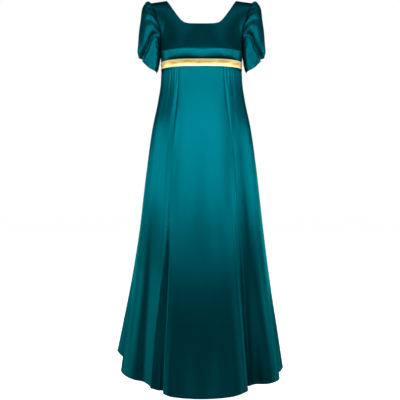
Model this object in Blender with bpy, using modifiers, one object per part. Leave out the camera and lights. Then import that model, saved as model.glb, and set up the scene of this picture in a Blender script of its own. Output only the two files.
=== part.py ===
"""Regency gown: a high-waisted satin gown that stands out as if worn, hollow and open.

Metres, +Z up. The front faces -Y and the wearer's left is +X. The origin is where the
wearer's shoulders hold the gown up: level with the shoulder seams, midway between them.

Each cut piece of cloth is one closed wall. Its outer points come from a surface worked out
from the tables below, and its inner points lie one cloth thickness behind them, so that
neighbouring pieces follow one form and stand a hair apart at every seam.
"""
import math
from collections import namedtuple

import bmesh
import bpy
from mathutils import Vector

COLLECTION = "regency_gown"

# Cloth and seams
CLOTH = 0.0015
RIBBON = 0.0010
SEAM_GAP = 0.0003

# How near a number must be to a seam's to lie on it, and the rounds of a search
NEAR = 0.001
MERGE = 0.0001
HALVINGS = 40

# Steps along a surface's two numbers when its outward direction is worked out
ROW_PROBE = 0.02
REACH_PROBE = 0.01
RING_PROBE = 0.02
TURN_PROBE = 0.5
FOLD_PROBE = 0.002
DROP_PROBE = 0.002
TRIM_TURN_PROBE = 1.0

# Bodice
WAIST_Z = -0.243
UNDERARM_X = 0.1525
UNDERARM_Z = -0.197
SHOULDER_TIP_X = 0.187
SHOULDER_TIP_Z = 0.001
ARMHOLE_FRONT = 0.050
ARMHOLE_BACK = 0.055
ARMHOLE_HOLLOW = 0.014
NECK_X = 0.130
NECK_CORNER_X = 0.074
FRONT_NECK_Z = -0.100
BACK_NECK_Z = -0.090
NECK_TOP_Z = 0.009
NECK_BEND = 0.52
NECK_SOFTNESS = 0.13
DART_X = 0.088
DART_TOP_Z = -0.186
DART_FULL_Z = -0.219
DART_DEPTH = 0.0026
DART_HALF_WIDTH = 0.013
CUP_X = 0.082
CUP_Z = -0.176
CUP_FULL_Z = -0.213
CUP_DEPTH = 0.005
CUP_REACH = 0.050

BodiceRow = namedtuple("BodiceRow", "name mid_z mid_y edge_z reach_deg squareness")
BODICE_ROWS = (
    BodiceRow("front waist", -0.243, -0.1130, -0.243, 90, 2.9),
    BodiceRow("front under bust", -0.2275, -0.1175, -0.229, 90, 2.9),
    BodiceRow("front bust", -0.2165, -0.1322, -0.214, 90, 2.8),
    BodiceRow("front underarm", -0.193, -0.1315, -0.197, 90, 2.7),
    BodiceRow("front over bust", -0.146, -0.1175, -0.167, 74, 2.5),
    BodiceRow("front neckline", -0.100, -0.1035, -0.131, 62, 2.3),
    BodiceRow("front chest", -0.064, -0.0830, -0.095, 55, 2.2),
    BodiceRow("front strap low", -0.028, -0.0590, -0.059, 50, 2.1),
    BodiceRow("front strap", 0.002, -0.0350, -0.027, 47, 2.0),
    BodiceRow("front strap top", 0.021, -0.0160, -0.007, 45, 2.0),
    BodiceRow("shoulder seam", 0.0275, 0.0000, 0.001, 45, 2.0),
    BodiceRow("back strap top", 0.021, 0.0170, -0.007, 45, 2.0),
    BodiceRow("back strap", 0.002, 0.0390, -0.027, 47, 2.0),
    BodiceRow("back strap low", -0.028, 0.0650, -0.059, 50, 2.1),
    BodiceRow("back shoulder blade", -0.064, 0.0880, -0.095, 55, 2.2),
    BodiceRow("back neckline", -0.100, 0.1030, -0.131, 62, 2.3),
    BodiceRow("back upper", -0.138, 0.1090, -0.167, 74, 2.5),
    BodiceRow("back underarm", -0.170, 0.1095, -0.197, 90, 2.7),
    BodiceRow("back middle", -0.195, 0.1070, -0.214, 90, 2.8),
    BodiceRow("back low", -0.219, 0.1035, -0.229, 90, 2.9),
    BodiceRow("back waist", -0.243, 0.1000, -0.243, 90, 2.9),
)
SHOULDER_ROW = 10
UNDERARM_ROW = 3
WAIST_HALF_WIDTH = 0.149
CENTRE_COLUMNS = 6
SIDE_COLUMNS = 8

# The trim's upper edge lies just below this row, and no dart or cup reaches under it
FIRST_ROW = 0.8
ROWS_UP_TO_UNDERARM = 4
ROWS_UP_TO_NECKLINE = 7
ROWS_IN_ALL = 14

# Sleeves, one row for each ring from the armhole to the hem. Hollow draws the sides of
# a ring in toward the bodice, and tilt drops its front and lifts its back.
SleeveRing = namedtuple("SleeveRing", "name top_x top_z low_x low_z front back hollow tilt")
SLEEVE_RINGS = (
    SleeveRing("armhole", SHOULDER_TIP_X, SHOULDER_TIP_Z, UNDERARM_X, UNDERARM_Z,
               ARMHOLE_FRONT, ARMHOLE_BACK, ARMHOLE_HOLLOW, 0.0),
    SleeveRing("cap", 0.2020, 0.005, 0.1560, -0.204, 0.064, 0.066, 0.007, 0.000),
    SleeveRing("puff top", 0.2215, -0.020, 0.1570, -0.214, 0.072, 0.073, 0.002, 0.001),
    SleeveRing("puff", 0.2280, -0.067, 0.1580, -0.226, 0.073, 0.075, 0.000, 0.003),
    SleeveRing("puff low", 0.2350, -0.122, 0.1600, -0.238, 0.071, 0.073, 0.000, 0.006),
    SleeveRing("above hem", 0.2372, -0.172, 0.1630, -0.252, 0.066, 0.068, 0.000, 0.010),
    SleeveRing("hem", 0.2320, -0.204, 0.1680, -0.262, 0.062, 0.064, 0.000, 0.013),
)
RING_STEPS = 2
RELIEF_FULL_RING = 0.5
CAP_PLEATS = 10
CAP_PLEAT_DEPTH = 0.0024
CAP_PLEAT_PEAK_RING = 0.8
CAP_PLEAT_END_RING = 2.6
CAP_FULL_DEG = 70.0
CAP_HALF_DEG = 90.0
UNDER_COLUMNS = 12
FOLD_FADE_IN = (-0.05, 0.25)
FOLD_FADE_OUT = (0.75, 1.05)
FOLD_LOST_AT_HEM = 0.6

# Turn is 0 over the shoulder, 90 at the front, 180 under the arm and 270 at the back. A
# fold's line passes the three turns at its first ring, midway and at its last ring.
SleeveFold = namedtuple(
    "SleeveFold", "name first_ring last_ring turn_a turn_b turn_c depth half_width_deg")
SLEEVE_FOLDS = (
    SleeveFold("front crease", 0.5, 6.2, 96, 99, 47, -0.0090, 12),
    SleeveFold("front bulge", 0.8, 6.0, 78, 72, 22, 0.0050, 15),
    SleeveFold("front pocket", 1.0, 2.4, 60, 62, 66, -0.0050, 9),
    SleeveFold("front low swell", 1.5, 6.2, 128, 122, 78, 0.0035, 14),
    SleeveFold("back crease", 0.5, 6.2, 264, 268, 312, -0.0065, 13),
    SleeveFold("back bulge", 0.8, 6.0, 284, 292, 336, 0.0040, 16),
)

# Waist trim
TRIM_WIDTH = 0.024
TRIM_LIFT = 0.0005
TRIM_COLUMNS = 60

# Skirt, one row for each level below the waist seam
SkirtLevel = namedtuple("SkirtLevel", "drop half_width front_y back_y centre_y squareness")
SKIRT_LEVELS = (
    SkirtLevel(0.000, WAIST_HALF_WIDTH, -0.113, 0.100, 0.000, 2.9),
    SkirtLevel(0.050, 0.1510, -0.119, 0.107, 0.002, 2.7),
    SkirtLevel(0.120, 0.1620, -0.131, 0.122, 0.006, 2.4),
    SkirtLevel(0.230, 0.1860, -0.148, 0.146, 0.014, 2.2),
    SkirtLevel(0.380, 0.2095, -0.168, 0.182, 0.026, 2.0),
    SkirtLevel(0.600, 0.2390, -0.203, 0.240, 0.043, 2.0),
    SkirtLevel(0.830, 0.2725, -0.243, 0.310, 0.060, 2.0),
    SkirtLevel(1.000, 0.3010, -0.268, 0.365, 0.072, 2.0),
    SkirtLevel(1.151, 0.3250, -0.285, 0.410, 0.080, 2.0),
)
SKIRT_LENGTH = SKIRT_LEVELS[-1].drop
SKIRT_ROW_DROPS = (0.0, 0.014, 0.035, 0.060, 0.090, 0.125, 0.170, 0.230, 0.310, 0.420,
                   0.560, 0.720, 0.880, 1.020, SKIRT_LENGTH)
RISE_GROWTH = 2.0
GATHER_DEPTH = 0.0026
GATHER_START = 0.012
GATHER_FULL = 0.050
GATHER_WANES = 0.070
GATHER_END = 0.260
GATHER_UNEVEN = 0.25
GATHER_BEAT = 2.3

# Folds of the skirt, from the centre back round the wearer's right, the front and the
# left. Out is how far the hem stands off the plain cone, rise how far it lifts, and a
# larger growth opens the fold later on its way down.
Fold = namedtuple("Fold", "name waist_deg hem_deg out rise growth columns")
FOLDS = (
    Fold("centre back seam", -180.0, -180.0, -0.026, 0.028, 1.6, 5),
    Fold("back right ridge 1", -162.0, -165.0, 0.022, 0.026, 1.6, 5),
    Fold("back right valley 1", -147.0, -151.0, -0.030, 0.026, 1.6, 5),
    Fold("back right ridge 2", -132.0, -139.0, 0.020, 0.028, 1.6, 5),
    Fold("back right valley 2", -118.0, -127.0, -0.024, 0.032, 1.6, 5),
    Fold("right swung lobe", -104.0, -116.0, 0.056, 0.045, 2.4, 5),
    Fold("right side seam", -90.0, -104.0, -0.030, 0.010, 1.6, 4),
    Fold("right side ridge", -81.0, -87.0, -0.016, 0.008, 1.6, 3),
    Fold("right side slope", -72.0, -72.0, -0.038, 0.000, 1.6, 2),
    Fold("right valley edge", -64.0, -63.2, -0.054, 0.000, 1.6, 2),
    Fold("right valley", -57.0, -57.6, -0.068, 0.000, 1.6, 2),
    Fold("right valley front", -51.0, -50.4, -0.068, 0.000, 1.6, 2),
    Fold("right seam slope", -45.0, -43.0, -0.058, 0.000, 1.6, 2),
    Fold("right seam ridge", -40.0, -36.4, -0.043, 0.000, 1.6, 1),
    Fold("right seam brink", -37.0, -32.0, -0.040, 0.000, 1.6, 2),
    Fold("right princess seam", -34.0, -28.2, -0.045, 0.000, 1.6, 2),
    Fold("right of front near", -30.0, -25.0, -0.018, 0.000, 1.6, 1),
    Fold("right of front", -26.5, -22.8, -0.007, 0.000, 1.6, 2),
    Fold("right front swell", -19.0, -17.0, 0.010, 0.000, 1.6, 4),
    Fold("centre front", 0.0, 0.0, 0.018, 0.000, 1.6, 4),
    Fold("left front swell", 18.0, 16.7, 0.010, 0.000, 1.6, 2),
    Fold("left of front", 26.0, 28.0, -0.016, 0.000, 1.6, 1),
    Fold("left of front near", 28.7, 32.7, -0.031, 0.000, 1.6, 1),
    Fold("left seam wall", 30.8, 36.6, -0.051, 0.000, 1.6, 2),
    Fold("left princess seam", 32.7, 40.8, -0.076, 0.000, 1.6, 3),
    Fold("left valley", 41.0, 49.0, -0.067, 0.000, 1.6, 2),
    Fold("left seam slope", 46.5, 53.2, -0.040, 0.000, 1.6, 2),
    Fold("left seam ridge", 51.5, 56.1, -0.029, 0.000, 1.6, 2),
    Fold("left swell", 57.5, 60.5, -0.022, 0.000, 1.6, 3),
    Fold("left ridge", 66.0, 66.5, -0.017, 0.000, 2.4, 3),
    Fold("left side slope", 74.0, 70.9, -0.020, 0.000, 2.4, 3),
    Fold("left side seam", 90.0, 80.8, -0.029, 0.003, 2.4, 4),
    Fold("left side ridge", 97.0, 88.0, -0.018, 0.006, 2.4, 4),
    Fold("left back lobe", 107.0, 99.0, -0.003, 0.010, 2.4, 4),
    Fold("back left valley 3", 118.0, 110.0, -0.026, 0.018, 2.4, 4),
    Fold("back left ridge 3", 130.0, 121.0, 0.018, 0.022, 1.6, 4),
    Fold("back left valley 2", 141.0, 132.0, -0.030, 0.024, 1.6, 4),
    Fold("back left ridge 2", 151.0, 144.0, 0.022, 0.026, 1.6, 4),
    Fold("back left valley 1", 161.0, 156.0, -0.028, 0.027, 1.6, 3),
    Fold("back left ridge 1", 171.0, 168.0, 0.020, 0.028, 1.6, 4),
    Fold("centre back end", 180.0, 180.0, -0.026, 0.028, 1.6, 0),
)

Panel = namedtuple("Panel", "node first last gathered")
SKIRT_PANELS = (
    Panel("skirt_back_right", "centre back seam", "right side seam", True),
    Panel("skirt_front_right", "right side seam", "right princess seam", True),
    Panel("skirt_front_centre", "right princess seam", "left princess seam", False),
    Panel("skirt_front_left", "left princess seam", "left side seam", True),
    Panel("skirt_back_left", "left side seam", "centre back end", True),
)


class Curve:
    """A smooth curve through values at rising knots, which never swings past them."""

    def __init__(self, knots, values, closed=False):
        if closed:
            step_in = knots[-2] - knots[-1]
            step_out = knots[1] - knots[0]
            knots = [knots[0] + step_in, *knots, knots[-1] + step_out]
            rise_in = values[-2] - values[-1]
            rise_out = values[1] - values[0]
            values = [values[0] + rise_in, *values, values[-1] + rise_out]
        self.knots = list(knots)
        self.values = list(values)
        last = len(self.knots) - 1
        steps = [self.knots[i + 1] - self.knots[i] for i in range(last)]
        rates = [(self.values[i + 1] - self.values[i]) / steps[i] for i in range(last)]
        self.slopes = [rates[0]]
        for i in range(1, last):
            before = rates[i - 1]
            after = rates[i]
            if before * after <= 0.0:
                self.slopes.append(0.0)
                continue
            weight_a = 2.0 * steps[i] + steps[i - 1]
            weight_b = steps[i] + 2.0 * steps[i - 1]
            harmonic = (weight_a + weight_b) / (weight_a / before + weight_b / after)
            self.slopes.append(harmonic)
        self.slopes.append(rates[-1])

    def __call__(self, place):
        i = 0
        while i < len(self.knots) - 2 and place > self.knots[i + 1]:
            i += 1
        width = self.knots[i + 1] - self.knots[i]
        t = (place - self.knots[i]) / width
        square = t * t
        cube = square * t
        return (self.values[i] * (2.0 * cube - 3.0 * square + 1.0)
                + self.slopes[i] * width * (cube - 2.0 * square + t)
                + self.values[i + 1] * (3.0 * square - 2.0 * cube)
                + self.slopes[i + 1] * width * (cube - square))


def mix(low, high, share):
    return low + (high - low) * share


def ease(place, start, end):
    """0 before start, 1 after end and a soft slope between them."""
    t = min(max((place - start) / (end - start), 0.0), 1.0)
    return t * t * (3.0 - 2.0 * t)


def bisect(rises, low, high):
    """The place between low and high where a function goes from False to True."""
    for _ in range(HALVINGS):
        middle = (low + high) / 2.0
        if rises(middle):
            high = middle
        else:
            low = middle
    return (low + high) / 2.0


def forward_share(angle, squareness):
    """How far forward a section lies at an angle: an ellipse's at squareness 2."""
    side = min(abs(math.sin(angle)), 1.0)
    return (1.0 - side ** squareness) ** (1.0 / squareness)


def surface_normal(surface, a, b, probe_a, probe_b):
    """The surface's outward direction where its two numbers are a and b."""
    along_a = surface(a + probe_a, b) - surface(a - probe_a, b)
    along_b = surface(a, b + probe_b) - surface(a, b - probe_b)
    return along_b.cross(along_a).normalized()


def flipped(grid):
    """The same grid on the other side of the gown."""
    mirror = Vector((-1.0, 1.0, 1.0))
    return [[(outer * mirror, inner * mirror) for outer, inner in reversed(line)]
            for line in grid]


# Bodice form: the row number runs from the front waist over the shoulder to the back
# waist, and reach runs from 0 on the centre line to 1 at the side seam or armhole.

ROW_NUMBERS = range(len(BODICE_ROWS))
MID_Z = Curve(ROW_NUMBERS, [row.mid_z for row in BODICE_ROWS])
MID_Y = Curve(ROW_NUMBERS, [row.mid_y for row in BODICE_ROWS])
EDGE_Z = Curve(ROW_NUMBERS, [row.edge_z for row in BODICE_ROWS])
REACH = Curve(ROW_NUMBERS, [math.radians(row.reach_deg) for row in BODICE_ROWS])
BODICE_SQUARENESS = Curve(ROW_NUMBERS, [row.squareness for row in BODICE_ROWS])


def bodice_edge(row):
    """The half bodice's edge at a row: on the side seam, then round the armhole."""
    z = EDGE_Z(row)
    if z <= UNDERARM_Z:
        share = (z - WAIST_Z) / (UNDERARM_Z - WAIST_Z)
        return Vector((mix(WAIST_HALF_WIDTH, UNDERARM_X, share), 0.0, z))
    half_z = (SHOULDER_TIP_Z - UNDERARM_Z) / 2.0
    level = min((z - UNDERARM_Z) / half_z - 1.0, 1.0)
    across = math.sqrt(1.0 - level * level)
    x = (SHOULDER_TIP_X + UNDERARM_X) / 2.0 + level * (SHOULDER_TIP_X - UNDERARM_X) / 2.0
    depth = -ARMHOLE_FRONT if row < SHOULDER_ROW else ARMHOLE_BACK
    return Vector((x - ARMHOLE_HOLLOW * across * across, depth * across, z))


def cup_depth(point):
    """How far the bust cups stand off the plain front."""
    away = math.hypot(abs(point.x) - CUP_X, point.z - CUP_Z) / CUP_REACH
    return CUP_DEPTH * math.exp(-away ** 2) * ease(point.z, WAIST_Z, CUP_FULL_Z)


def dart_depth(point):
    """How far a dart's stitched line draws the front in."""
    beside = max(0.0, 1.0 - abs(abs(point.x) - DART_X) / DART_HALF_WIDTH)
    above_trim = ease(point.z, WAIST_Z + TRIM_WIDTH / 2.0, DART_FULL_Z)
    return DART_DEPTH * beside * above_trim * (1.0 - ease(point.z, DART_FULL_Z, DART_TOP_Z))


def bodice_point(row, reach, darts=True):
    edge = bodice_edge(row)
    full = REACH(row)
    angle = reach * full
    x = edge.x * math.sin(angle) / math.sin(full)
    squareness = BODICE_SQUARENESS(row)
    at_edge = forward_share(full, squareness)
    share = (forward_share(angle, squareness) - at_edge) / (1.0 - at_edge)
    if angle > math.pi / 2.0:
        share = -share
    y = mix(edge.y, MID_Y(row), share)
    z = mix(MID_Z(row), edge.z, abs(x) / edge.x)
    point = Vector((x, y, z))
    if row < SHOULDER_ROW:
        point.y -= cup_depth(point) * share
        if darts:
            point.y += dart_depth(point) * share
    return point


def reach_of_x(row, x):
    full = REACH(row)
    return math.asin(x * math.sin(full) / bodice_edge(row).x) / full


def height_of_x(row, x):
    return mix(MID_Z(row), EDGE_Z(row), x / bodice_edge(row).x)


def neckline_rise(share):
    """0 at the centre and 1 at the neck point: flat, a soft corner, then straight."""
    def bend(place):
        past = place - NECK_BEND
        return math.sqrt(past * past + NECK_SOFTNESS ** 2) + past
    return (bend(share) - bend(0.0)) / (bend(1.0) - bend(0.0))


def neckline_z(x, bottom_z):
    return mix(bottom_z, NECK_TOP_Z, neckline_rise(x / NECK_X))


def spread(step, steps, last_row):
    """Row numbers from the waist up, the first step always at the trimmed row."""
    if step == 0:
        return 0.0
    return mix(FIRST_ROW, last_row, (step - 1) / (steps - 1))


def bodice_grids(front):
    """Row and reach of each point: a centre block and a block that runs up the strap."""
    bottom_z = FRONT_NECK_Z if front else BACK_NECK_Z

    def place(row):
        return row if front else 2 * SHOULDER_ROW - row

    def row_at_neckline(x):
        target = neckline_z(x, bottom_z)
        return bisect(lambda row: height_of_x(place(row), x) > target, 0.0, SHOULDER_ROW)

    def neckline_x(row):
        def passed(x):
            return neckline_z(x, bottom_z) > height_of_x(place(row), x)
        return bisect(passed, NECK_CORNER_X / 2.0, NECK_X)

    corner_row = row_at_neckline(NECK_CORNER_X)

    centre = []
    for j in range(ROWS_UP_TO_NECKLINE + 1):
        line = []
        for i in range(CENTRE_COLUMNS + 1):
            across = i / CENTRE_COLUMNS
            top_row = row_at_neckline(across * NECK_CORNER_X)
            row = spread(j, ROWS_UP_TO_NECKLINE, top_row)
            x = across * mix(DART_X, NECK_CORNER_X, row / top_row)
            line.append((place(row), reach_of_x(place(row), x)))
        centre.append(line)

    strap = []
    for j in range(ROWS_IN_ALL + 1):
        if j <= ROWS_UP_TO_NECKLINE:
            inner_row = spread(j, ROWS_UP_TO_NECKLINE, corner_row)
            inner_x = mix(DART_X, NECK_CORNER_X, inner_row / corner_row)
        else:
            up = (j - ROWS_UP_TO_NECKLINE) / (ROWS_IN_ALL - ROWS_UP_TO_NECKLINE)
            inner_row = mix(corner_row, SHOULDER_ROW, up)
            inner_x = neckline_x(inner_row)
        if j <= ROWS_UP_TO_UNDERARM:
            edge_row = spread(j, ROWS_UP_TO_UNDERARM, UNDERARM_ROW)
        else:
            up = (j - ROWS_UP_TO_UNDERARM) / (ROWS_IN_ALL - ROWS_UP_TO_UNDERARM)
            edge_row = mix(UNDERARM_ROW, SHOULDER_ROW, up)
        inner_reach = reach_of_x(place(inner_row), inner_x)
        line = []
        for i in range(SIDE_COLUMNS + 1):
            across = i / SIDE_COLUMNS
            row = mix(inner_row, edge_row, across)
            line.append((place(row), mix(inner_reach, 1.0, across)))
        strap.append(line)
    return centre, strap


def bodice_pair(row, reach):
    """The outer and inner point of the bodice's wall, drawn back at its seams."""
    point = bodice_point(row, reach)
    normal = surface_normal(bodice_point, row, reach, ROW_PROBE, REACH_PROBE)
    half_gap = SEAM_GAP / 2.0
    on_waist = row < NEAR or row > 2 * SHOULDER_ROW - NEAR
    on_shoulder = abs(row - SHOULDER_ROW) < NEAR
    on_side_seam = reach > 1.0 - NEAR and EDGE_Z(row) < UNDERARM_Z + NEAR
    on_centre_back = row > SHOULDER_ROW and reach < NEAR
    if on_waist:
        normal.z = 0.0
        point.z += half_gap
    if on_shoulder or on_side_seam:
        normal.y = 0.0
        point.y += -half_gap if row < SHOULDER_ROW else half_gap
    if on_centre_back:
        normal.x = 0.0
        point.x = half_gap
    return point, point - normal.normalized() * CLOTH


# Sleeve form: the ring number runs from the armhole to the hem

RING_NUMBERS = range(len(SLEEVE_RINGS))
TOP_X = Curve(RING_NUMBERS, [ring.top_x for ring in SLEEVE_RINGS])
TOP_Z = Curve(RING_NUMBERS, [ring.top_z for ring in SLEEVE_RINGS])
LOW_X = Curve(RING_NUMBERS, [ring.low_x for ring in SLEEVE_RINGS])
LOW_Z = Curve(RING_NUMBERS, [ring.low_z for ring in SLEEVE_RINGS])
FRONT_DEPTH = Curve(RING_NUMBERS, [ring.front for ring in SLEEVE_RINGS])
BACK_DEPTH = Curve(RING_NUMBERS, [ring.back for ring in SLEEVE_RINGS])
HOLLOW = Curve(RING_NUMBERS, [ring.hollow for ring in SLEEVE_RINGS])
TILT = Curve(RING_NUMBERS, [ring.tilt for ring in SLEEVE_RINGS])
FOLD_LINES = [Curve((0.0, 0.5, 1.0), (fold.turn_a, fold.turn_b, fold.turn_c))
              for fold in SLEEVE_FOLDS]


def plain_sleeve(ring, turn_deg):
    turn = math.radians(turn_deg)
    down = (1.0 - math.cos(turn)) / 2.0
    side = math.sin(turn)
    depth = FRONT_DEPTH(ring) if side > 0.0 else BACK_DEPTH(ring)
    x = mix(TOP_X(ring), LOW_X(ring), down) - HOLLOW(ring) * side * side
    z = mix(TOP_Z(ring), LOW_Z(ring), down) - TILT(ring) * side
    return Vector((x, -depth * side, z))


def angle_between(turn_a, turn_b):
    return (turn_a - turn_b + 180.0) % 360.0 - 180.0


def sleeve_relief(ring, turn_deg):
    """How far pleats and folds stand off the plain sleeve."""
    rise = ease(ring, 0.0, CAP_PLEAT_PEAK_RING)
    fade = 1.0 - ease(ring, CAP_PLEAT_PEAK_RING, CAP_PLEAT_END_RING)
    around = angle_between(turn_deg, 0.0)
    in_cap = 1.0 - ease(abs(around), CAP_FULL_DEG, CAP_HALF_DEG)
    wave = math.cos(math.pi * CAP_PLEATS * (around / CAP_HALF_DEG + 1.0))
    relief = CAP_PLEAT_DEPTH * rise * fade * in_cap * wave
    for fold, line in zip(SLEEVE_FOLDS, FOLD_LINES):
        along = (ring - fold.first_ring) / (fold.last_ring - fold.first_ring)
        off = angle_between(turn_deg, line(along)) / fold.half_width_deg
        starts = ease(along, *FOLD_FADE_IN)
        stays = 1.0 - FOLD_LOST_AT_HEM * ease(along, *FOLD_FADE_OUT)
        relief += fold.depth * starts * stays * math.exp(-off * off)
    return relief


def sleeve_point(ring, turn_deg):
    off_armhole = max(ring, RING_PROBE)
    normal = surface_normal(plain_sleeve, off_armhole, turn_deg, RING_PROBE, TURN_PROBE)
    relief = sleeve_relief(ring, turn_deg) * ease(ring, 0.0, RELIEF_FULL_RING)
    return plain_sleeve(ring, turn_deg) + normal * relief


def sleeve_pair(ring, turn_deg):
    point = sleeve_point(ring, turn_deg)
    if ring > 0.0:
        inward = -surface_normal(sleeve_point, ring, turn_deg, RING_PROBE, TURN_PROBE)
    else:
        point.x += SEAM_GAP
        middle = (plain_sleeve(0.0, 0.0) + plain_sleeve(0.0, 180.0)) / 2.0
        inward = (middle - point).normalized()
    return point, point + inward * CLOTH


# Skirt form: fold is the place round the skirt, in fold numbers, and drop the depth
# below the waist seam

LEVEL_DROPS = [level.drop for level in SKIRT_LEVELS]
HALF_WIDTH = Curve(LEVEL_DROPS, [level.half_width for level in SKIRT_LEVELS])
FRONT_Y = Curve(LEVEL_DROPS, [level.front_y for level in SKIRT_LEVELS])
BACK_Y = Curve(LEVEL_DROPS, [level.back_y for level in SKIRT_LEVELS])
CENTRE_Y = Curve(LEVEL_DROPS, [level.centre_y for level in SKIRT_LEVELS])
SKIRT_SQUARENESS = Curve(LEVEL_DROPS, [level.squareness for level in SKIRT_LEVELS])
FOLD_NUMBERS = range(len(FOLDS))
WAIST_DEG = Curve(FOLD_NUMBERS, [fold.waist_deg for fold in FOLDS], closed=True)
HEM_DEG = Curve(FOLD_NUMBERS, [fold.hem_deg for fold in FOLDS], closed=True)
OUT = Curve(FOLD_NUMBERS, [fold.out for fold in FOLDS], closed=True)
RISE = Curve(FOLD_NUMBERS, [fold.rise for fold in FOLDS], closed=True)
GROWTH = Curve(FOLD_NUMBERS, [fold.growth for fold in FOLDS], closed=True)
FOLD_NAMES = [fold.name for fold in FOLDS]


def gather_share(drop):
    """How strongly the gathers stand out at a depth below the waist seam."""
    starts = ease(drop, GATHER_START, GATHER_FULL)
    return starts * (1.0 - ease(drop, GATHER_WANES, GATHER_END))


def skirt_ring(angle_deg, drop):
    """The plain flared skirt, with no folds."""
    angle = math.radians(angle_deg)
    depth = FRONT_Y(drop) if math.cos(angle) > 0.0 else BACK_Y(drop)
    x = HALF_WIDTH(drop) * math.sin(angle)
    y = mix(CENTRE_Y(drop), depth, forward_share(angle, SKIRT_SQUARENESS(drop)))
    return Vector((x, y, WAIST_Z - drop))


def skirt_point(fold, drop, gather=0.0):
    share = max(drop, 0.0) / SKIRT_LENGTH
    angle_deg = mix(WAIST_DEG(fold), HEM_DEG(fold), share)
    point = skirt_ring(angle_deg, drop)
    angle = math.radians(angle_deg)
    outward = Vector((math.sin(angle), -math.cos(angle), 0.0))
    point += outward * (OUT(fold) * share ** GROWTH(fold))
    point += outward * (gather * gather_share(drop))
    point.z += RISE(fold) * share ** RISE_GROWTH
    return point


def panel_columns(panel):
    """Each column's place in fold numbers, and the depth of its gather."""
    first = FOLD_NAMES.index(panel.first)
    last = FOLD_NAMES.index(panel.last)
    places = []
    for number in range(first, last):
        columns = FOLDS[number].columns
        for i in range(columns):
            places.append(number + i / columns)
    places.append(float(last))
    gathers = []
    for i in range(len(places)):
        inside = panel.gathered and 0 < i < len(places) - 1
        uneven = 1.0 - GATHER_UNEVEN + GATHER_UNEVEN * math.sin(GATHER_BEAT * i)
        sign = 1.0 if i % 2 else -1.0
        gathers.append(sign * uneven * GATHER_DEPTH if inside else 0.0)
    return places, gathers


def skirt_panel_grid(panel):
    places, gathers = panel_columns(panel)
    last = len(places) - 1
    grid = []
    for drop in SKIRT_ROW_DROPS:
        line = []
        for i, (place, gather) in enumerate(zip(places, gathers)):
            def surface(fold, depth):
                return skirt_point(fold, depth, gather)
            point = surface(place, drop)
            normal = surface_normal(surface, place, drop, FOLD_PROBE, DROP_PROBE)
            if drop == 0.0:
                normal.z = 0.0
                normal.normalize()
                point.z -= SEAM_GAP / 2.0
            if i in (0, last):
                ahead = surface(place + FOLD_PROBE, drop)
                along = ahead - surface(place - FOLD_PROBE, drop)
                side = 1.0 if i == 0 else -1.0
                point += along.normalized() * side * SEAM_GAP / 2.0
            line.append((point, point - normal * CLOTH))
        grid.append(line)
    return grid


# Trim form: the ribbon lies on the bodice above the waist seam and on the skirt below it

def under_trim(z, turn_deg):
    """The gown's surface under the ribbon, from the front at turn 0 to the back at 180."""
    on_waist = skirt_ring(turn_deg, max(WAIST_Z - z, 0.0))
    if z <= WAIST_Z:
        return on_waist
    at_front = turn_deg < 90.0
    row = FIRST_ROW if at_front else 2 * SHOULDER_ROW - FIRST_ROW
    reach = (turn_deg if at_front else 180.0 - turn_deg) / 90.0
    above = bodice_point(row, reach, darts=False)
    return on_waist.lerp(above, (z - WAIST_Z) / (above.z - WAIST_Z))


def trim_grid():
    grid = []
    for z in (WAIST_Z + TRIM_WIDTH / 2.0, WAIST_Z, WAIST_Z - TRIM_WIDTH / 2.0):
        left = []
        for i in range(TRIM_COLUMNS + 1):
            turn_deg = 180.0 * i / TRIM_COLUMNS
            normal = surface_normal(under_trim, z, turn_deg, DROP_PROBE, TRIM_TURN_PROBE)
            if z == WAIST_Z:
                normal.z = 0.0
                normal.normalize()
            inner = under_trim(z, turn_deg) + normal * TRIM_LIFT
            left.append((inner + normal * RIBBON, inner))
        right = flipped([left])[0]
        grid.append(left[:-1] + right[:-1])
    return grid


# Making solids

def new_material(name, colour, roughness, metallic):
    material = bpy.data.materials.new(name)
    material.use_nodes = True
    shader = material.node_tree.nodes["Principled BSDF"]
    shader.inputs["Base Color"].default_value = (*colour, 1.0)
    shader.inputs["Roughness"].default_value = roughness
    shader.inputs["Metallic"].default_value = metallic
    material.diffuse_color = (*colour, 1.0)
    return material


def make_wall(name, grids, material, collection, closed=False, mirrored=False):
    """One closed wall through grids of outer and inner points, which share their edges."""
    mesh = bpy.data.meshes.new(name)
    work = bmesh.new()
    made = {}

    def vertices(pair):
        key = tuple(round(value, 7) for value in pair[0])
        if key not in made:
            made[key] = (work.verts.new(pair[0]), work.verts.new(pair[1]))
        return made[key]

    edges = {}
    for grid in grids:
        columns = len(grid[0])
        for j in range(len(grid) - 1):
            for i in range(columns if closed else columns - 1):
                k = (i + 1) % columns
                pairs = (grid[j][i], grid[j][k], grid[j + 1][k], grid[j + 1][i])
                corners = [vertices(pair) for pair in pairs]
                work.faces.new([outer for outer, inner in corners])
                work.faces.new([inner for outer, inner in reversed(corners)])
                for a, b in zip(corners, corners[1:] + corners[:1]):
                    if (b, a) in edges:
                        del edges[(b, a)]
                    else:
                        edges[(a, b)] = True
    for a, b in edges:
        on_mirror = mirrored and abs(a[0].co.x) < MERGE and abs(b[0].co.x) < MERGE
        if not on_mirror:
            work.faces.new([b[0], a[0], a[1], b[1]])
    bmesh.ops.triangulate(work, faces=work.faces[:])
    if not mirrored:
        bmesh.ops.recalc_face_normals(work, faces=work.faces[:])
    work.to_mesh(mesh)
    work.free()
    mesh.materials.append(material)
    piece = bpy.data.objects.new(name, mesh)
    collection.objects.link(piece)
    if mirrored:
        mirror = piece.modifiers.new("Mirror", "MIRROR")
        mirror.merge_threshold = MERGE
    mesh.shade_smooth()
    return piece


def bodice_walls(front):
    return [[[bodice_pair(*place) for place in line] for line in grid]
            for grid in bodice_grids(front)]


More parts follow.
